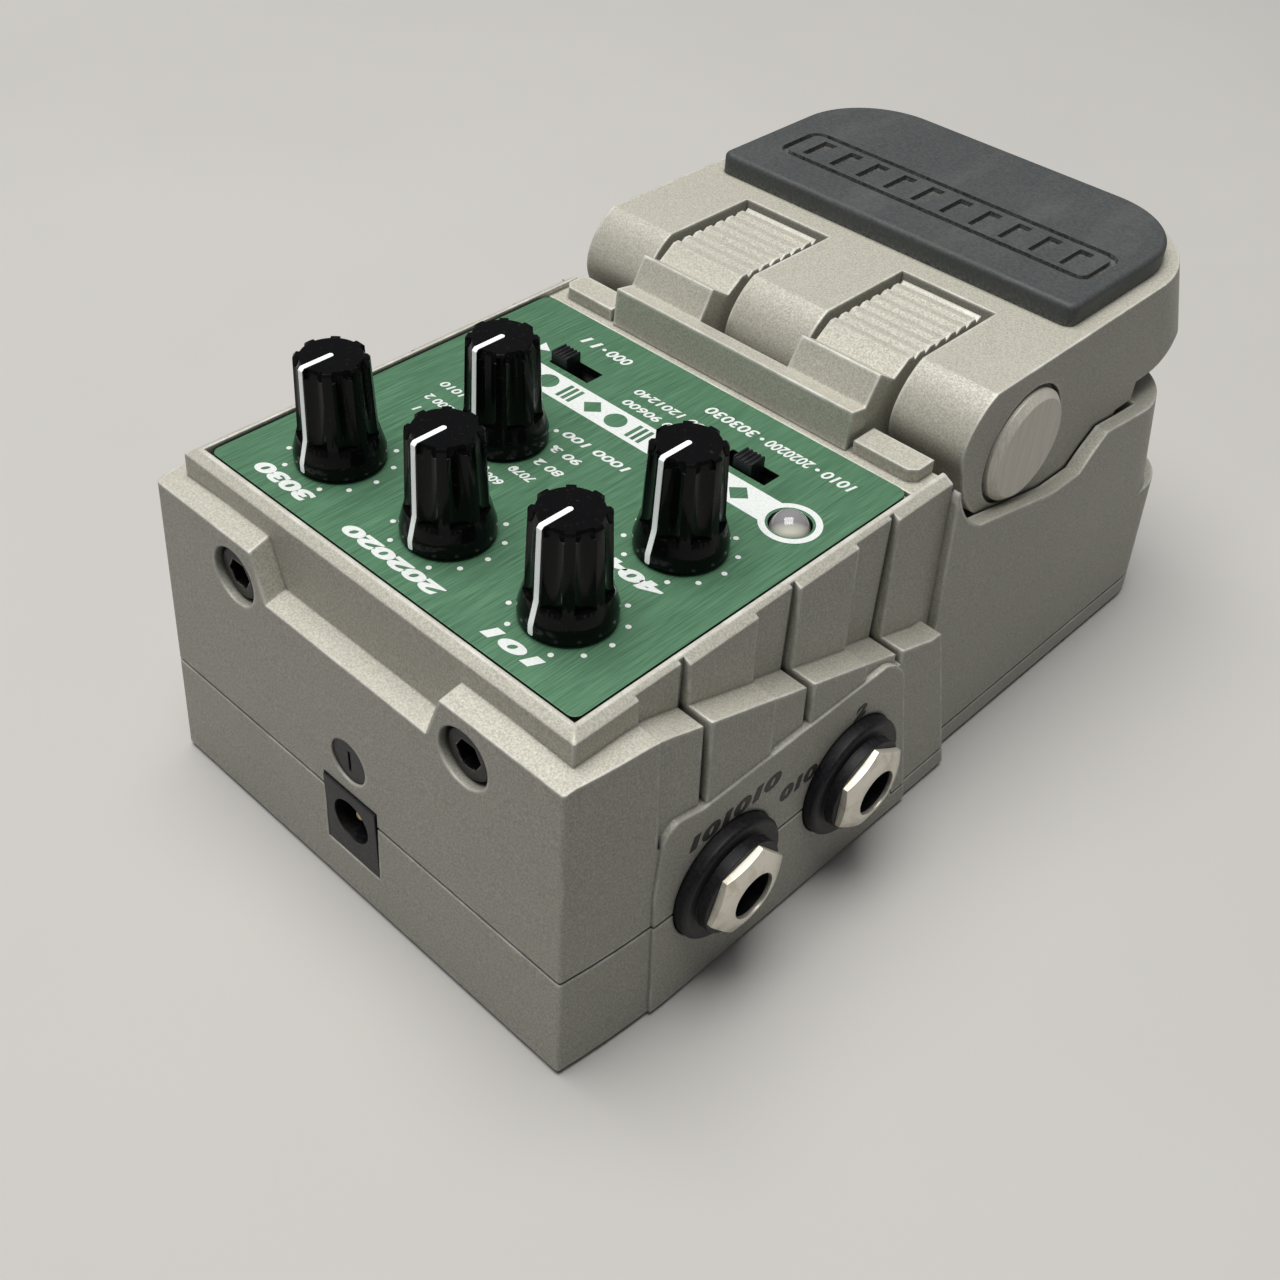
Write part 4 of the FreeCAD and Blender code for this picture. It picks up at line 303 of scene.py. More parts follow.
def raised(tree, shader, height, distance, strength, normal=None):
    node = tree.nodes.new("ShaderNodeBump")
    node.inputs["Distance"].default_value = distance
    node.inputs["Strength"].default_value = strength
    tree.links.new(height, node.inputs["Height"])
    if normal is not None:
        tree.links.new(normal, node.inputs["Normal"])
    tree.links.new(node.outputs["Normal"], shader.inputs["Normal"])


def rounded(tree, radius):
    soft = tree.nodes.new("ShaderNodeBevel")
    soft.samples = 8
    soft.inputs["Radius"].default_value = radius
    return soft.outputs["Normal"]


def closeness(tree, reach, inside):
    # 1 on an open face, less beside an inner corner, or beside an outer edge when measured inside.
    near = tree.nodes.new("ShaderNodeAmbientOcclusion")
    near.samples = 8
    near.only_local = inside
    near.inside = inside
    near.inputs["Distance"].default_value = reach
    return near.outputs["AO"]


def outer_edge_mask(tree, reach):
    return between(tree, closeness(tree, reach, True), 0.88, 0.62)


# Finishes of this pedal

def powder_coat():
    paint = colours()
    material, tree, shader = finish_of("grey_powder_coat", paint.casing, 0.48, 0.35)
    place = object_place(tree)
    grain = noise(tree, place, 4200.0, 2.0)
    speckle = noise(tree, place, 3700.0, 4.0, 0.80)
    cloud = noise(tree, place, 22.0, 3.0)
    tone = blended(tree, between(tree, speckle, 0.40, 0.60), paint.casing_dark, paint.casing)
    dusty = blended(tree, between(tree, cloud, 0.45, 0.75, 0.0, 0.15), tone, (0.66, 0.64, 0.57))
    patchy = between(tree, noise(tree, place, 190.0, 4.0, 0.7), 0.46, 0.62, 0.35, 1.0)
    # Pale edges: bare metal where the paint wears off, and a painted highlight along the edges.
    edge_wear_and_highlight = product(tree, outer_edge_mask(tree, 0.0007), patchy)
    with_edge_wear_and_highlight = blended(tree, edge_wear_and_highlight, dusty, paint.edge_wear_and_highlight_colour)
    # Painted shade: the colour goes near black in grooves, creases and inner corners, where the closeness
    # falls.
    open_air = between(tree, closeness(tree, 0.0010, False), 0.25, 0.74)
    painted_crease_shade = tuple(part * 0.16 for part in paint.casing_dark)
    coloured(tree, shader, blended(tree, open_air, painted_crease_shade, with_edge_wear_and_highlight))
    roughened(tree, shader, between(tree, grain, 0.3, 0.7, 0.42, 0.58))
    tree.links.new(between(tree, speckle, 0.45, 0.70, 0.06, 0.26), shader.inputs["Metallic"])
    raised(tree, shader, speckle, 0.00005, 0.5, rounded(tree, 0.0005))
    return material


def green_brushed_plate():
    paint = colours()
    material, tree, shader = finish_of("green_brushed_plate", paint.plate, 0.40, 0.35)
    along = object_place(tree, (1.0, 0.022, 1.0))
    fine = noise(tree, along, 7000.0, 3.0, 0.7)
    broad = noise(tree, object_place(tree, (1.0, 0.05, 1.0)), 700.0, 3.0, 0.6)
    cloud = noise(tree, object_place(tree), 45.0, 2.0)
    tone = blended(tree, between(tree, fine, 0.34, 0.68), paint.plate, paint.plate_light)
    streaked = blended(tree, between(tree, broad, 0.45, 0.8, 0.0, 0.22), tone, (0.17, 0.34, 0.22))
    faded = blended(tree, between(tree, cloud, 0.5, 0.8, 0.0, 0.25), streaked, paint.plate)
    # Painted shade: faces that don't look up, the plate's sides, go near black, as shade in the gap round
    # the plate.
    shape = tree.nodes.new("ShaderNodeNewGeometry")
    parts = tree.nodes.new("ShaderNodeSeparateXYZ")
    tree.links.new(shape.outputs["True Normal"], parts.inputs["Vector"])
    plate_with_painted_side_shade = blended(tree, between(tree, parts.outputs["Z"], 0.2, 0.5), (0.006, 0.008, 0.006), faded)
    coloured(tree, shader, plate_with_painted_side_shade)
    roughened(tree, shader, between(tree, fine, 0.3, 0.7, 0.38, 0.54))
    raised(tree, shader, fine, 0.00002, 0.35)
    return material


def white_print():
    material, tree, shader = finish_of("white_screen_print", colours().printing, 0.42)
    place = object_place(tree)
    grain = between(tree, noise(tree, place, 2600.0, 2.0), 0.35, 0.75)
    coloured(tree, shader, blended(tree, grain, colours().printing, (0.68, 0.71, 0.69)))
    return material


def pointer_white_painted_glow():
    material, _, shader = finish_of("pointer_white_painted_glow", (0.90, 0.92, 0.91), 0.45)
    # Painted glow: the pointer gives off light of its own, so its sides stay bright white.
    shader.inputs["Emission Color"].default_value = (0.93, 0.97, 0.96, 1.0)
    shader.inputs["Emission Strength"].default_value = 0.20
    return material


def black_side_print():
    material, tree, shader = finish_of("black_side_print", colours().side_print, 0.55)
    grain = between(tree, noise(tree, object_place(tree), 3000.0, 2.0), 0.4, 0.75)
    coloured(tree, shader, blended(tree, grain, colours().side_print, (0.06, 0.058, 0.053)))
    return material


def glossy_dial():
    material, tree, shader = finish_of("glossy_black_dial", colours().dial, 0.13)
    place = object_place(tree)
    dust = between(tree, noise(tree, place, 1500.0, 4.0, 0.75), 0.60, 0.74)
    smear = between(tree, noise(tree, place, 240.0, 3.0), 0.35, 0.7, 0.10, 0.22)
    coloured(tree, shader, blended(tree, product(tree, dust, 0.30), colours().dial, (0.08, 0.08, 0.076)))
    roughened(tree, shader, smear)
    shader.inputs["Specular IOR Level"].default_value = 0.15
    return material


def moulded_black(name, roughness):
    material, tree, shader = finish_of(name, (0.009, 0.009, 0.011), roughness)
    place = object_place(tree)
    grain = noise(tree, place, 2400.0, 3.0)
    tone = blended(tree, between(tree, grain, 0.4, 0.8), (0.006, 0.006, 0.008), (0.022, 0.022, 0.025))
    # Painted shade: holes and recesses go near black and lose their gloss.
    open_air = between(tree, closeness(tree, 0.0030, False), 0.25, 0.60)
    coloured(tree, shader, blended(tree, open_air, (0.001, 0.001, 0.001), tone))
    tree.links.new(product(tree, open_air, 0.3), shader.inputs["Specular IOR Level"])
    roughened(tree, shader, between(tree, grain, 0.3, 0.7, roughness - 0.08, roughness + 0.08))
    raised(tree, shader, grain, 0.00003, 0.4)
    return material


def pad_rubber():
    material, tree, shader = finish_of("footplate_rubber", colours().rubber, 0.62)
    place = object_place(tree)
    pores = noise(tree, place, 2100.0, 4.0, 0.7)
    scuff = noise(tree, object_place(tree, (1.0, 0.35, 1.0)), 120.0, 5.0, 0.6)
    tone = blended(tree, between(tree, pores, 0.35, 0.7), (0.044, 0.049, 0.050), (0.078, 0.085, 0.084))
    dusty = blended(tree, between(tree, scuff, 0.52, 0.8, 0.0, 0.4), tone, (0.13, 0.138, 0.138))
    # Dust lies in the recess of the frame.
    recess = between(tree, closeness(tree, 0.0022, False), 0.80, 0.45)
    lint = product(tree, recess, between(tree, pores, 0.40, 0.60))
    coloured(tree, shader, blended(tree, product(tree, lint, 0.7), dusty, (0.19, 0.19, 0.17)))
    roughened(tree, shader, between(tree, scuff, 0.3, 0.7, 0.5, 0.72))
    raised(tree, shader, pores, 0.00006, 0.5)
    return material


def brushed_steel(name, colour, stretch, roughness, metallic=1.0):
    material, tree, shader = finish_of(name, colour, roughness, metallic)
    lines = noise(tree, object_place(tree, stretch), 4200.0, 3.0, 0.65)
    marks = noise(tree, object_place(tree), 420.0, 4.0, 0.7)
    dark = tuple(part * 0.72 for part in colour)
    tone = blended(tree, between(tree, lines, 0.3, 0.7), dark, colour)
    coloured(tree, shader, blended(tree, between(tree, marks, 0.6, 0.8, 0.0, 0.35), tone, dark))
    roughened(tree, shader, between(tree, lines, 0.3, 0.7, roughness - 0.06, roughness + 0.10))
    raised(tree, shader, lines, 0.00002, 0.45)
    return material


def nickel_plate():
    material, tree, shader = finish_of("nickel_plate", colours().nickel, 0.36, 0.6)
    place = object_place(tree)
    stain = noise(tree, place, 330.0, 5.0, 0.65)
    fine = noise(tree, place, 2300.0, 3.0)
    stained = between(tree, stain, 0.48, 0.72, 0.0, 0.75)
    coloured(tree, shader, blended(tree, stained, colours().nickel, (0.52, 0.44, 0.32)))
    roughened(tree, shader, between(tree, fine, 0.3, 0.7, 0.32, 0.48))
    raised(tree, shader, fine, 0.000006, 0.3)
    return material


def blackened_steel():
    material, tree, shader = finish_of("blackened_screw", (0.02, 0.02, 0.02), 0.36, 0.7)
    wear = noise(tree, object_place(tree), 900.0, 4.0, 0.7)
    # Pale edges: bare steel where the black wears off, and a painted highlight.
    edge_wear_and_highlight = product(tree, outer_edge_mask(tree, 0.0004), between(tree, wear, 0.45, 0.6))
    coloured(tree, shader, blended(tree, edge_wear_and_highlight, (0.014, 0.014, 0.014), (0.22, 0.21, 0.20)))
    roughened(tree, shader, between(tree, wear, 0.3, 0.7, 0.28, 0.5))
    return material


def coloured_metal(name, colour):
    material, tree, shader = finish_of(name, colour, 0.36, 0.5)
    tarnish = noise(tree, object_place(tree), 700.0, 4.0)
    dark = tuple(part * 0.6 for part in colour)
    coloured(tree, shader, blended(tree, between(tree, tarnish, 0.45, 0.75), colour, dark))
    return material


def clear_lamp():
    # Milky dome with painted light: a grey top for the dark it reflects, and a painted lit cream on the side
    # that faces down and back, for light that comes through the dome.
    material, tree, shader = finish_of("milky_lamp", (0.30, 0.29, 0.31), 0.07)
    shape = tree.nodes.new("ShaderNodeNewGeometry")
    side = tree.nodes.new("ShaderNodeVectorMath")
    side.operation = "DOT_PRODUCT"
    side.inputs[1].default_value = (-0.62, 0.66, -0.42)
    tree.links.new(shape.outputs["Normal"], side.inputs[0])
    lit = between(tree, side.outputs["Value"], 0.05, 0.55)
    coloured(tree, shader, blended(tree, lit, (0.27, 0.26, 0.27), (0.86, 0.84, 0.72)))
    shader.inputs["Coat Weight"].default_value = 0.6
    return material


def circuit_board():
    material, tree, shader = finish_of("green_circuit_board", (0.02, 0.12, 0.05), 0.35)
    lanes = noise(tree, object_place(tree, (1.0, 0.2, 1.0)), 900.0, 2.0)
    copper = between(tree, lanes, 0.52, 0.56)
    coloured(tree, shader, blended(tree, copper, (0.015, 0.10, 0.04), (0.03, 0.17, 0.07)))
    return material


def battery_wrap():
    material, tree, shader = finish_of("battery_wrap", (0.05, 0.05, 0.06), 0.35, 0.4)
    band = noise(tree, object_place(tree, (0.1, 1.0, 0.1)), 60.0, 0.0)
    wrap = between(tree, band, 0.5, 0.52)
    coloured(tree, shader, blended(tree, wrap, (0.05, 0.05, 0.06), (0.45, 0.30, 0.12)))
    return material


# Each finish is made once
FINISHES = {}


def finish(name):
    if name not in FINISHES:
        makers = {
            "casing_paint": powder_coat,
            "faceplate_green": green_brushed_plate,
            "white_print": white_print,
            "pointer_white_painted_glow": pointer_white_painted_glow,
            "side_print": black_side_print,
            "knob_black": glossy_dial,
            "black_plastic": lambda: moulded_black("moulded_black", 0.42),
            "washer_black": lambda: moulded_black("washer_black", 0.5),
            "black_steel": blackened_steel,
            "pad_rubber": pad_rubber,
            "brushed_steel": lambda: brushed_steel("brushed_hinge_cap", colours().steel,
                                                   (1.0, 1.0, 0.03), 0.46, 0.25),
            "zinc_steel": lambda: brushed_steel("zinc_plated_steel", (0.5, 0.5, 0.5), (1.0, 1.0, 0.2), 0.3),
            "nickel": nickel_plate,
            "brass": lambda: coloured_metal("brass_pin", (1.0, 0.74, 0.36)),
            "bronze": lambda: coloured_metal("bronze_bush", (0.55, 0.36, 0.18)),
            "lamp_clear": clear_lamp,
            "circuit_board": circuit_board,
            "battery_wrap": battery_wrap,
        }
        FINISHES[name] = makers[name]()
    return FINISHES[name]


# Small tools for shapes

def only(piece):
    bpy.ops.object.select_all(action="DESELECT")
    piece.select_set(True)
    bpy.context.view_layer.objects.active = piece


def painted(piece, finish_name):
    piece.data.materials.clear()
    piece.data.materials.append(finish(finish_name))
    return piece


def settled(piece, name, body, finish_name):
    # The piece's place goes into its mesh, and it rides on its body.
    only(piece)
    bpy.ops.object.transform_apply(location=True, rotation=True, scale=True)
    piece.name = name
    piece.data.name = name
    painted(piece, finish_name)
    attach(piece, body)
    return piece


def body_of(node):
    return frame["nodes"][node]["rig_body"]


def softened(node, width, finish_name, angle=28.0):
    # A copy of a CAD node with its edges broken, which takes the node's place.
    source = frame["nodes"][node]
    piece = bpy.data.objects.new(node + "_finished", source.data.copy())
    bpy.context.scene.collection.objects.link(piece)
    only(piece)
    bpy.ops.object.mode_set(mode="EDIT")
    bpy.ops.mesh.select_all(action="SELECT")
    bpy.ops.mesh.customdata_custom_splitnormals_clear()
    bpy.ops.mesh.remove_doubles(threshold=MERGE_DISTANCE)
    bpy.ops.mesh.dissolve_limited(angle_limit=FLAT_ANGLE)
    bpy.ops.object.mode_set(mode="OBJECT")
    if width > 0:
        edge = piece.modifiers.new("edge", "BEVEL")
        edge.width = width
        edge.segments = BEVEL_SEGMENTS
        edge.limit_method = "ANGLE"
        edge.angle_limit = math.radians(angle)
        edge.use_clamp_overlap = True
        edge.harden_normals = False
        bpy.ops.object.modifier_apply(modifier=edge.name)
    bpy.ops.object.shade_smooth_by_angle(angle=SMOOTH_ANGLE)
    flat = piece.modifiers.new("flat_faces", "WEIGHTED_NORMAL")
    flat.weight = NORMAL_WEIGHT
    flat.keep_sharp = True
    bpy.ops.object.modifier_apply(modifier=flat.name)
    painted(piece, finish_name)
    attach(piece, body_of(node))
    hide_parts(node)
    return piece


def slot_of(node):
    for part in frame["record"]["subparts"]:
        if part["node"] == node:
            return part["material_slot"]
    raise RuntimeError("no slot for " + node)


def repaint(nodes, finish_name):
    for node in nodes:
        painted(frame["nodes"][node], finish_name)


def disc_at(x, y, z, radius, height, first, sides=20):
    bpy.ops.mesh.primitive_cylinder_add(vertices=sides, radius=radius, depth=height, location=(x, y, z))
    if first:
        bpy.ops.object.transform_apply(location=True)
        bpy.ops.object.mode_set(mode="EDIT")


def bar_at(x, y, z, length, width, height, turn=0.0):
    # Adds a flat bar to the mesh in edit mode.
    bpy.ops.mesh.primitive_cube_add(size=1.0, location=(x, y, z), rotation=(0, 0, turn),
                                    scale=(length, width, height))


def number(text, width, height, layer, bold):
    # A plain number of the given size, flat on the ground at the origin.
    bpy.ops.object.select_all(action="DESELECT")
    bpy.ops.object.text_add(location=(0, 0, 0))
    bpy.context.object.data.body = text
    bpy.context.object.data.offset = bold
    bpy.context.object.data.shear = LETTER_SLANT
    bpy.context.object.data.extrude = 0.01
    bpy.ops.object.convert(target="MESH")
    piece = bpy.context.object
    corners = [vertex.co for vertex in piece.data.vertices]
    low = [min(corner[axis] for corner in corners) for axis in range(3)]
    high = [max(corner[axis] for corner in corners) for axis in range(3)]
    wanted = (width, height, layer)
    for vertex in piece.data.vertices:
        for axis in range(3):
            share = (vertex.co[axis] - low[axis]) / (high[axis] - low[axis])
            vertex.co[axis] = (share - 0.5) * wanted[axis]
    return piece


# Operators

class PEDAL_OT_castings(bpy.types.Operator):
    """Break the castings' edges and give them their powder coat"""

    bl_idname = "pedal.castings"
    bl_label = "Castings"

    def execute(self, context):
        edge = sizes().casting_edge
        for node in ("upper_housing", "bottom_tray", "hinge_block", "treadle"):
            softened(node, edge, "casing_paint")
        return {"FINISHED"}


class PEDAL_OT_faceplate(bpy.types.Operator):
    """Give the faceplate its broken edge and green brushing"""

    bl_idname = "pedal.faceplate"
    bl_label = "Faceplate"

    def execute(self, context):
        softened("faceplate", sizes().metal_edge, "faceplate_green")
        return {"FINISHED"}


class PEDAL_OT_dial_scales(bpy.types.Operator):
    """Print a ring of dots round each dial"""

    bl_idname = "pedal.dial_scales"
    bl_label = "Dial scales"

    def execute(self, context):
        size = sizes()
        height = faceplate_top() + size.print_height / 2
        bpy.ops.object.select_all(action="DESELECT")
        first = True
        for dial in DIALS:
            centre = middle_of(dial + "_knob")
            for count in range(size.scale_dots):
                turn = DIAL_SWEEP * (2.0 * count / (size.scale_dots - 1) - 1.0)
                # A plain number stands where the middle dot would be.
                if abs(turn) < 0.1 and dial != "mode":
                    continue
                x = centre.x + size.scale_radius * math.sin(turn)
                y = centre.y + size.scale_radius * math.cos(turn)
                disc_at(x, y, height, size.dot_radius, size.print_height, first)
                first = False
        bpy.ops.object.mode_set(mode="OBJECT")
        settled(bpy.context.object, "dial_scale_dots", "casing", "white_print")
        return {"FINISHED"}


class PEDAL_OT_plate_marks(bpy.types.Operator):
    """Print the band, the lamp's ring, plain numbers and switch marks"""

    bl_idname = "pedal.plate_marks"
    bl_label = "Plate marks"

    def execute(self, context):
        size = sizes()
        top = faceplate_top()
        layer = size.print_height
        lamp = middle_of("led_lamp")
        self.lamp_ring(lamp, top, layer, size)
        self.banner(lamp, top, layer, size)
        self.numbers(top, layer)
        self.switch_marks(top, layer)
        return {"FINISHED"}

    def lamp_ring(self, lamp, top, layer, size):
        bpy.ops.object.select_all(action="DESELECT")
        bpy.ops.mesh.primitive_circle_add(vertices=72, radius=size.lamp_ring, fill_type="NOTHING",
                                          location=(lamp.x, lamp.y, top + layer))
        piece = bpy.context.object
        bpy.ops.object.mode_set(mode="EDIT")
        bpy.ops.mesh.extrude_region_move()
        inner = (high_corner("led_lamp").x - lamp.x + 0.0001) / size.lamp_ring
        bpy.ops.transform.resize(value=(inner, inner, 1.0))
        bpy.ops.mesh.select_all(action="SELECT")
        bpy.ops.mesh.normals_make_consistent(inside=False)
        bpy.ops.object.mode_set(mode="OBJECT")
        self.thicken(piece, layer)
        settled(piece, "lamp_ring_print", "casing", "white_print")

    def thicken(self, piece, layer):
        only(piece)
        wall = piece.modifiers.new("thickness", "SOLIDIFY")
        wall.thickness = layer
        wall.offset = -1.0
        bpy.ops.object.modifier_apply(modifier=wall.name)
        bpy.ops.object.mode_set(mode="EDIT")
        bpy.ops.mesh.select_all(action="SELECT")
        bpy.ops.mesh.normals_make_consistent(inside=False)
        bpy.ops.object.mode_set(mode="OBJECT")

    def banner(self, lamp, top, layer, size):
        start = lamp.x + size.lamp_ring * 0.8
        end = lamp.x + BANNER_LENGTH
        y = lamp.y
        bpy.ops.object.select_all(action="DESELECT")
        bpy.ops.mesh.primitive_cube_add(size=1.0, location=((start + end) / 2, y, top + layer / 2),
                                        scale=(end - start, size.banner_width, layer))
        bpy.ops.object.transform_apply(location=True, scale=True)
        settled(bpy.context.object, "banner_print", "casing", "white_print")
        bpy.ops.object.select_all(action="DESELECT")
        tall = size.banner_width * 0.66
        first = True
        for step in range(size.banner_shapes):
            x = lamp.x + BANNER_FIRST_SHAPE + BANNER_STEP * step
            if step % 3 == 0:
                disc_at(x, y, top + layer * 1.5, tall / 2, layer, first, 4)
            elif step % 3 == 1:
                for side in (-1, 0, 1):
                    bar_at(x + side * 0.95 * MM, y, top + layer * 1.5, 0.55 * MM, tall, layer)
            else:
                disc_at(x, y, top + layer * 1.5, tall / 2, layer, first)
            first = False
        bpy.ops.object.mode_set(mode="OBJECT")
        settled(bpy.context.object, "banner_motif", "casing", "faceplate_green")

    def numbers(self, top, layer):
        pieces = []
        for rows, bold in ((PLATE_NUMBERS, PLATE_BOLD), (SMALL_NUMBERS, SMALL_BOLD)):
            for node, text, across, back, width, height in rows:
                piece = number(text, width * MM, height * MM, layer * 1.4, bold)
                middle = middle_of(node)
                piece.location = (middle.x + across * MM, middle.y + back * MM, top + layer * 0.7)
                pieces.append(piece)
        self.join(pieces, "plain_numbers", "white_print")

    def join(self, pieces, name, finish_name):
        bpy.ops.object.select_all(action="DESELECT")
        for piece in pieces:
            piece.select_set(True)
        bpy.context.view_layer.objects.active = pieces[0]
        bpy.ops.object.transform_apply(location=True, rotation=True, scale=True)
        bpy.ops.object.join()
        return settled(pieces[0], name, "casing", finish_name)

    def switch_marks(self, top, layer):
        bpy.ops.object.select_all(action="DESELECT")
        first = True
        for node, across, back in NUMBER_DOTS:
            middle = middle_of(node)
            disc_at(middle.x + across * MM, middle.y + back * MM, top + layer / 2, 0.30 * MM, layer, first)
            first = False
        switch = middle_of("two_way_switch_toggle")
        arrow = (switch.x + 4.6 * MM, switch.y - 0.3 * MM, top + layer / 2)
        bpy.ops.mesh.primitive_cylinder_add(vertices=3, radius=1.3 * MM, depth=layer,
                                            rotation=(0, 0, math.pi / 2), location=arrow)
        bpy.ops.object.mode_set(mode="OBJECT")
        settled(bpy.context.object, "switch_marks", "casing", "white_print")


class PEDAL_OT_side_marks(bpy.types.Operator):
    """Print plain numbers beside the side sockets"""

    bl_idname = "pedal.side_marks"
    bl_label = "Side marks"

    def execute(self, context):
        wall = bpy.data.objects["upper_housing_finished"]
        for count, (node, text, forwards, up, width, height) in enumerate(SIDE_NUMBERS):
            socket = middle_of(node)
            side = 1 if socket.x > 0 else -1
            axis = middle_of("power_socket_pin").z + 3.0 * MM
            start = Vector((side * 0.08, socket.y - forwards * MM, axis + up * MM))
            _, place, normal, _ = wall.ray_cast(start, Vector((-side, 0, 0)))
            layer = sizes().print_height
            piece = number(text, width * MM, height * MM, layer, PLATE_BOLD)
            higher = (Vector((0, 0, 1)) - normal * normal.z).normalized()
            turn = Matrix((higher.cross(normal), higher, normal)).transposed().to_4x4()
            piece.matrix_world = Matrix.Translation(place + normal * layer) @ turn
            settled(piece, f"{node}_number_{count}", "casing", "side_print")
        return {"FINISHED"}


class PEDAL_OT_dials(bpy.types.Operator):
    """Round the dials' edges, gloss them and inlay their white pointers"""

    bl_idname = "pedal.dials"
    bl_label = "Dials"

    def execute(self, context):
        for dial in DIALS:
            cap = softened(dial + "_knob", sizes().moulded_edge, "knob_black", 24.0)
            self.pointer(dial, cap)
            repaint([dial + "_shaft"], "zinc_steel")
        return {"FINISHED"}

    def pointer(self, dial, cap):
        low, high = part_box(dial + "_knob")
        centre = (low + high) / 2
        grown = bpy.data.objects.new(dial + "_grown", cap.data.copy())
        bpy.context.scene.collection.objects.link(grown)
        only(grown)
        bpy.ops.object.mode_set(mode="EDIT")
        bpy.ops.mesh.select_all(action="SELECT")
        bpy.ops.transform.shrink_fatten(value=0.00005)
        bpy.ops.object.mode_set(mode="OBJECT")
        bpy.ops.object.select_all(action="DESELECT")
        width = sizes().pointer_width
        start = centre.y - 0.25 * MM
        bpy.ops.mesh.primitive_cube_add(size=1.0, location=(centre.x, start + 3.6 * MM, centre.z + 0.3 * MM),
                                        scale=(width, 7.2 * MM, high.z - low.z))
        line = bpy.context.object
        bpy.ops.object.transform_apply(location=True, scale=True)
        for edge in line.data.edges:
            ends = [line.data.vertices[index].co for index in edge.vertices]
            edge.select = abs(ends[0].z - ends[1].z) > width and ends[0].y < start + width
        bpy.ops.object.mode_set(mode="EDIT")
        bpy.ops.mesh.select_mode(type="EDGE")
        bpy.ops.mesh.bevel(offset=width * 0.48, segments=6)
        bpy.ops.object.mode_set(mode="OBJECT")
        cut = line.modifiers.new("fit", "BOOLEAN")
        cut.operation = "INTERSECT"
        cut.solver = "EXACT"
        cut.object = grown
        bpy.ops.object.modifier_apply(modifier=cut.name)
        bpy.data.objects.remove(grown)
        settled(line, dial + "_pointer", dial + "_dial", "pointer_white_painted_glow")


class PEDAL_OT_switches(bpy.types.Operator):
    """Finish the slide switches' caps"""

    bl_idname = "pedal.switches"
    bl_label = "Slide switches"

    def execute(self, context):
        for node in ("three_way_switch_toggle", "two_way_switch_toggle"):
            softened(node, sizes().moulded_edge * 0.6, "black_plastic")
        return {"FINISHED"}


class PEDAL_OT_lamp(bpy.types.Operator):
    """Give the lamp its milky dome"""

    bl_idname = "pedal.lamp"
    bl_label = "Lamp"

    def execute(self, context):
        softened("led_lamp", 0.0, "lamp_clear")
        return {"FINISHED"}


class PEDAL_OT_sockets(bpy.types.Operator):
    """Finish the sockets, their nuts and washers, the plug and the back screws"""

    bl_idname = "pedal.sockets"
    bl_label = "Sockets and screws"

    def execute(self, context):
        edge = sizes().metal_edge
        for node in ("mono_output_socket", "right_output_socket", "input_socket"):
            softened(node, edge, "black_plastic")
        softened("socket_nuts", edge * 1.4, "nickel")
        softened("socket_washers", edge * 2.0, "washer_black")
        softened("power_socket", edge * 1.5, "black_plastic")
        softened("power_socket_pin", edge, "brass")
        softened("blanking_plug", edge * 2.0, "black_plastic")
        softened("back_screws", edge, "black_steel")
        return {"FINISHED"}


class PEDAL_OT_footplate(bpy.types.Operator):
    """Finish the footplate's rubber pad and the hinge caps"""

    bl_idname = "pedal.footplate"
    bl_label = "Footplate"

    def execute(self, context):
        softened("treadle_pad", sizes().moulded_edge, "pad_rubber")
        for side in ("left", "right"):
            softened("hinge_cap_" + side, sizes().metal_edge, "brushed_steel")
        return {"FINISHED"}


class PEDAL_OT_inner_parts(bpy.types.Operator):
    """Give every hidden or underside part its finish"""

    bl_idname = "pedal.inner_parts"
    bl_label = "Inner and underside parts"

    def execute(self, context):
        springs = softened("return_springs", 0.0, "zinc_steel")
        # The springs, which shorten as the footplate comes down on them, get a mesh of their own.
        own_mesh(springs)
        for node, piece in frame["nodes"].items():
            if not piece.hide_render:
                slot_name = slot_of(node)
                painted(piece, slot_name)
        return {"FINISHED"}


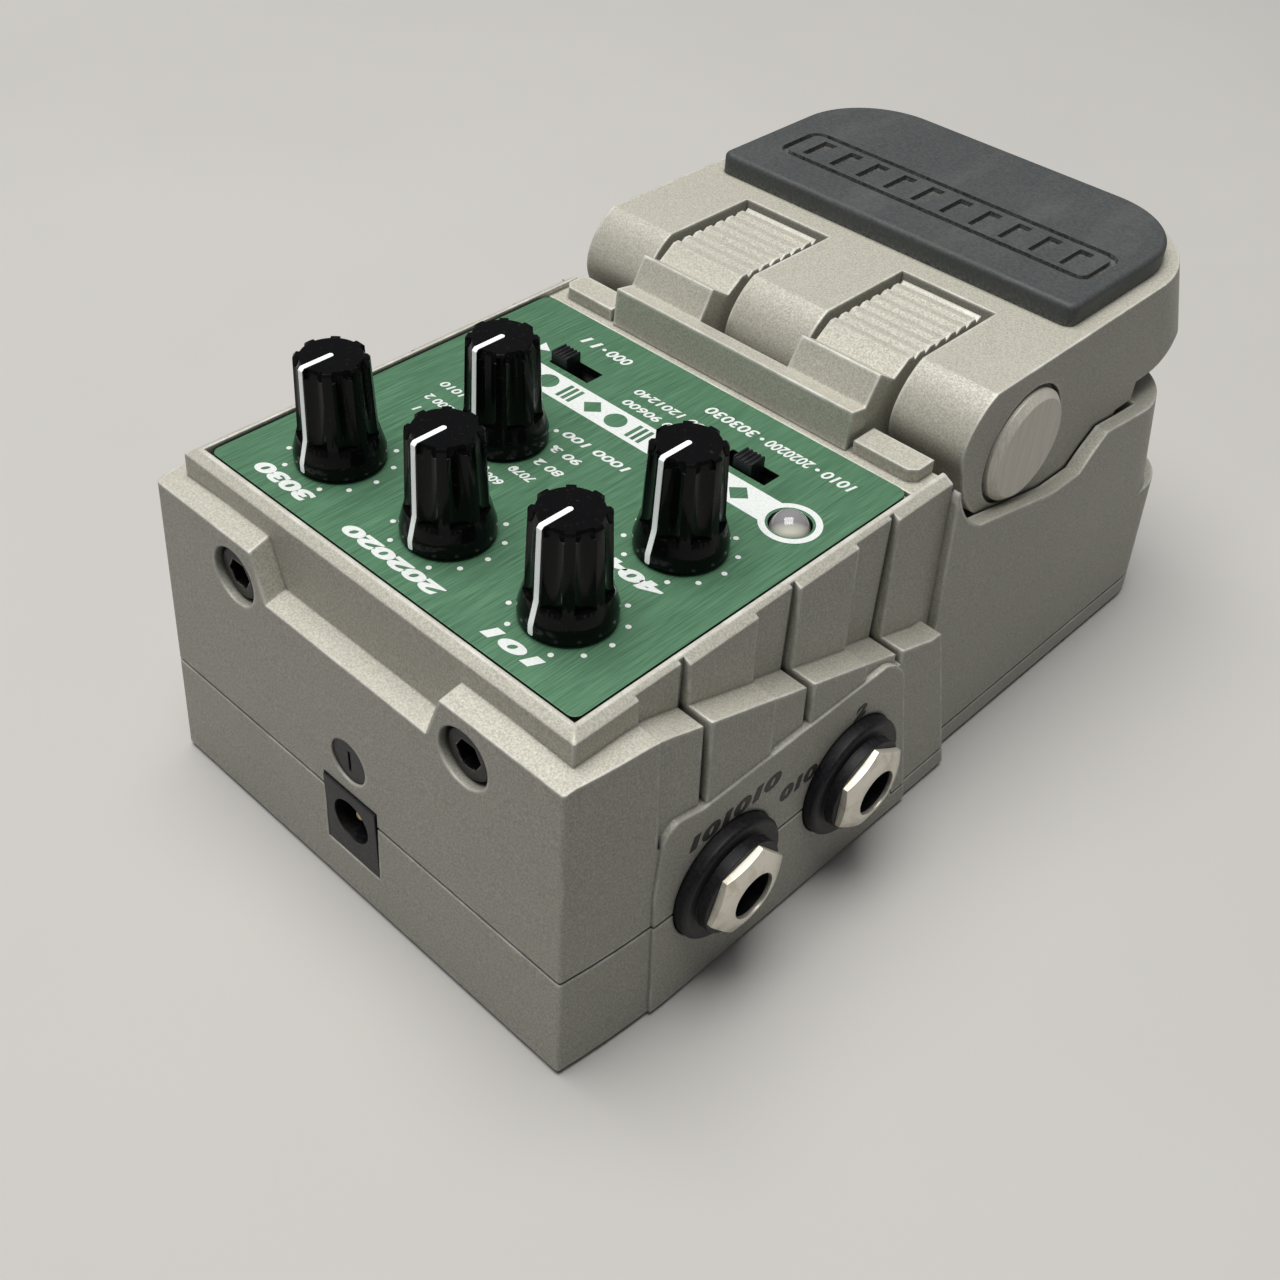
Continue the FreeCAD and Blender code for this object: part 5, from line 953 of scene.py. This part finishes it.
class PEDAL_OT_studio(bpy.types.Operator):
    """Set up the floor, the soft lights and the camera"""

    bl_idname = "pedal.studio"
    bl_label = "Studio"

    def execute(self, context):
        self.floor()
        self.lights()
        self.camera()
        context.scene.view_settings.view_transform = "Standard"
        return {"FINISHED"}

    def floor(self):
        bpy.ops.object.select_all(action="DESELECT")
        bpy.ops.mesh.primitive_plane_add(size=6.0, location=(0, 0, 0))
        piece = bpy.context.object
        piece.name = "studio_floor"
        material, tree, shader = finish_of("studio_floor", (0.14, 0.137, 0.132), 0.8)
        cloud = noise(tree, object_place(tree), 9.0, 3.0)
        pale = tuple(part * 1.03 for part in colours().floor)
        seen = blended(tree, between(tree, cloud, 0.35, 0.65), colours().floor, pale)
        # The camera, metal and glass see a pale floor, and a darker one lights the pedal from below.
        path = tree.nodes.new("ShaderNodeLightPath")
        sight = path.outputs["Is Camera Ray"]
        for kind in ("Is Glossy Ray", "Is Transmission Ray"):
            either = tree.nodes.new("ShaderNodeMath")
            either.operation = "MAXIMUM"
            tree.links.new(sight, either.inputs[0])
            tree.links.new(path.outputs[kind], either.inputs[1])
            sight = either.outputs["Value"]
        coloured(tree, shader, blended(tree, sight, (0.11, 0.108, 0.104), seen))
        piece.data.materials.append(material)

    def area(self, name, place, aim, size, power, colour):
        lamp = bpy.data.lights.new(name, "AREA")
        lamp.shape = "RECTANGLE"
        lamp.size = size[0]
        lamp.size_y = size[1]
        lamp.energy = power
        lamp.color = colour
        piece = bpy.data.objects.new(name, lamp)
        bpy.context.scene.collection.objects.link(piece)
        piece.location = place
        piece.rotation_euler = (Vector(aim) - Vector(place)).to_track_quat("-Z", "Y").to_euler()

    def lights(self):
        world = bpy.data.worlds.new("studio_world")
        world.use_nodes = True
        world.node_tree.nodes["Background"].inputs["Color"].default_value = (0.94, 0.97, 1.0, 1.0)
        world.node_tree.nodes["Background"].inputs["Strength"].default_value = 0.13
        bpy.context.scene.world = world
        self.area("ceiling_light", (0.13, 0.11, 1.2), (0, 0, 0.03), (0.9, 0.9), 17.8, (1.0, 0.99, 0.97))

    def camera(self):
        data = bpy.data.cameras.new("photo_camera")
        data.lens = 43.55
        data.sensor_width = 36.0
        data.shift_x = 0.0130
        data.shift_y = -0.0034
        data.clip_start = 0.01
        data.clip_end = 10.0
        piece = bpy.data.objects.new("photo_camera", data)
        bpy.context.scene.collection.objects.link(piece)
        right = Vector((-0.7150, -0.6978, 0.0425)).normalized()
        ahead = Vector((0.5000, -0.5528, -0.6667)).normalized()
        up = right.cross(ahead)
        turn = Matrix((right, up, -ahead)).transposed().to_4x4()
        place = Vector((-107.88, 139.07, 158.27 + 0.8)) * MM
        piece.matrix_world = Matrix.Translation(place) @ turn
        bpy.context.scene.camera = piece


OPERATORS = (
    PEDAL_OT_castings, PEDAL_OT_faceplate, PEDAL_OT_dial_scales, PEDAL_OT_plate_marks, PEDAL_OT_side_marks,
    PEDAL_OT_dials, PEDAL_OT_switches, PEDAL_OT_lamp, PEDAL_OT_sockets, PEDAL_OT_footplate,
    PEDAL_OT_inner_parts, PEDAL_OT_studio,
)


class PEDAL_PT_panel(bpy.types.Panel):
    """Lists the pedal's sizes, colours and steps"""

    bl_idname = "PEDAL_PT_panel"
    bl_label = "Delay Pedal"
    bl_space_type = "VIEW_3D"
    bl_region_type = "UI"
    bl_category = "Delay Pedal"

    def draw(self, context):
        for group in (context.scene.pedal_sizes, context.scene.pedal_colours):
            column = self.layout.column(align=True)
            for name in group.__annotations__:
                column.prop(group, name)
        for step in OPERATORS:
            self.layout.operator(step.bl_idname)


def register():
    for item in (PedalColours, PedalSizes, *OPERATORS, PEDAL_PT_panel):
        bpy.utils.register_class(item)
    bpy.types.Scene.pedal_colours = bpy.props.PointerProperty(type=PedalColours)
    bpy.types.Scene.pedal_sizes = bpy.props.PointerProperty(type=PedalSizes)


def unregister():
    del bpy.types.Scene.pedal_sizes
    del bpy.types.Scene.pedal_colours
    for item in reversed((PedalColours, PedalSizes, *OPERATORS, PEDAL_PT_panel)):
        bpy.utils.unregister_class(item)


def main():
    register()
    for step in OPERATORS:
        group, name = step.bl_idname.split(".")
        getattr(getattr(bpy.ops, group), name)()


if __name__ == "__main__":
    main()
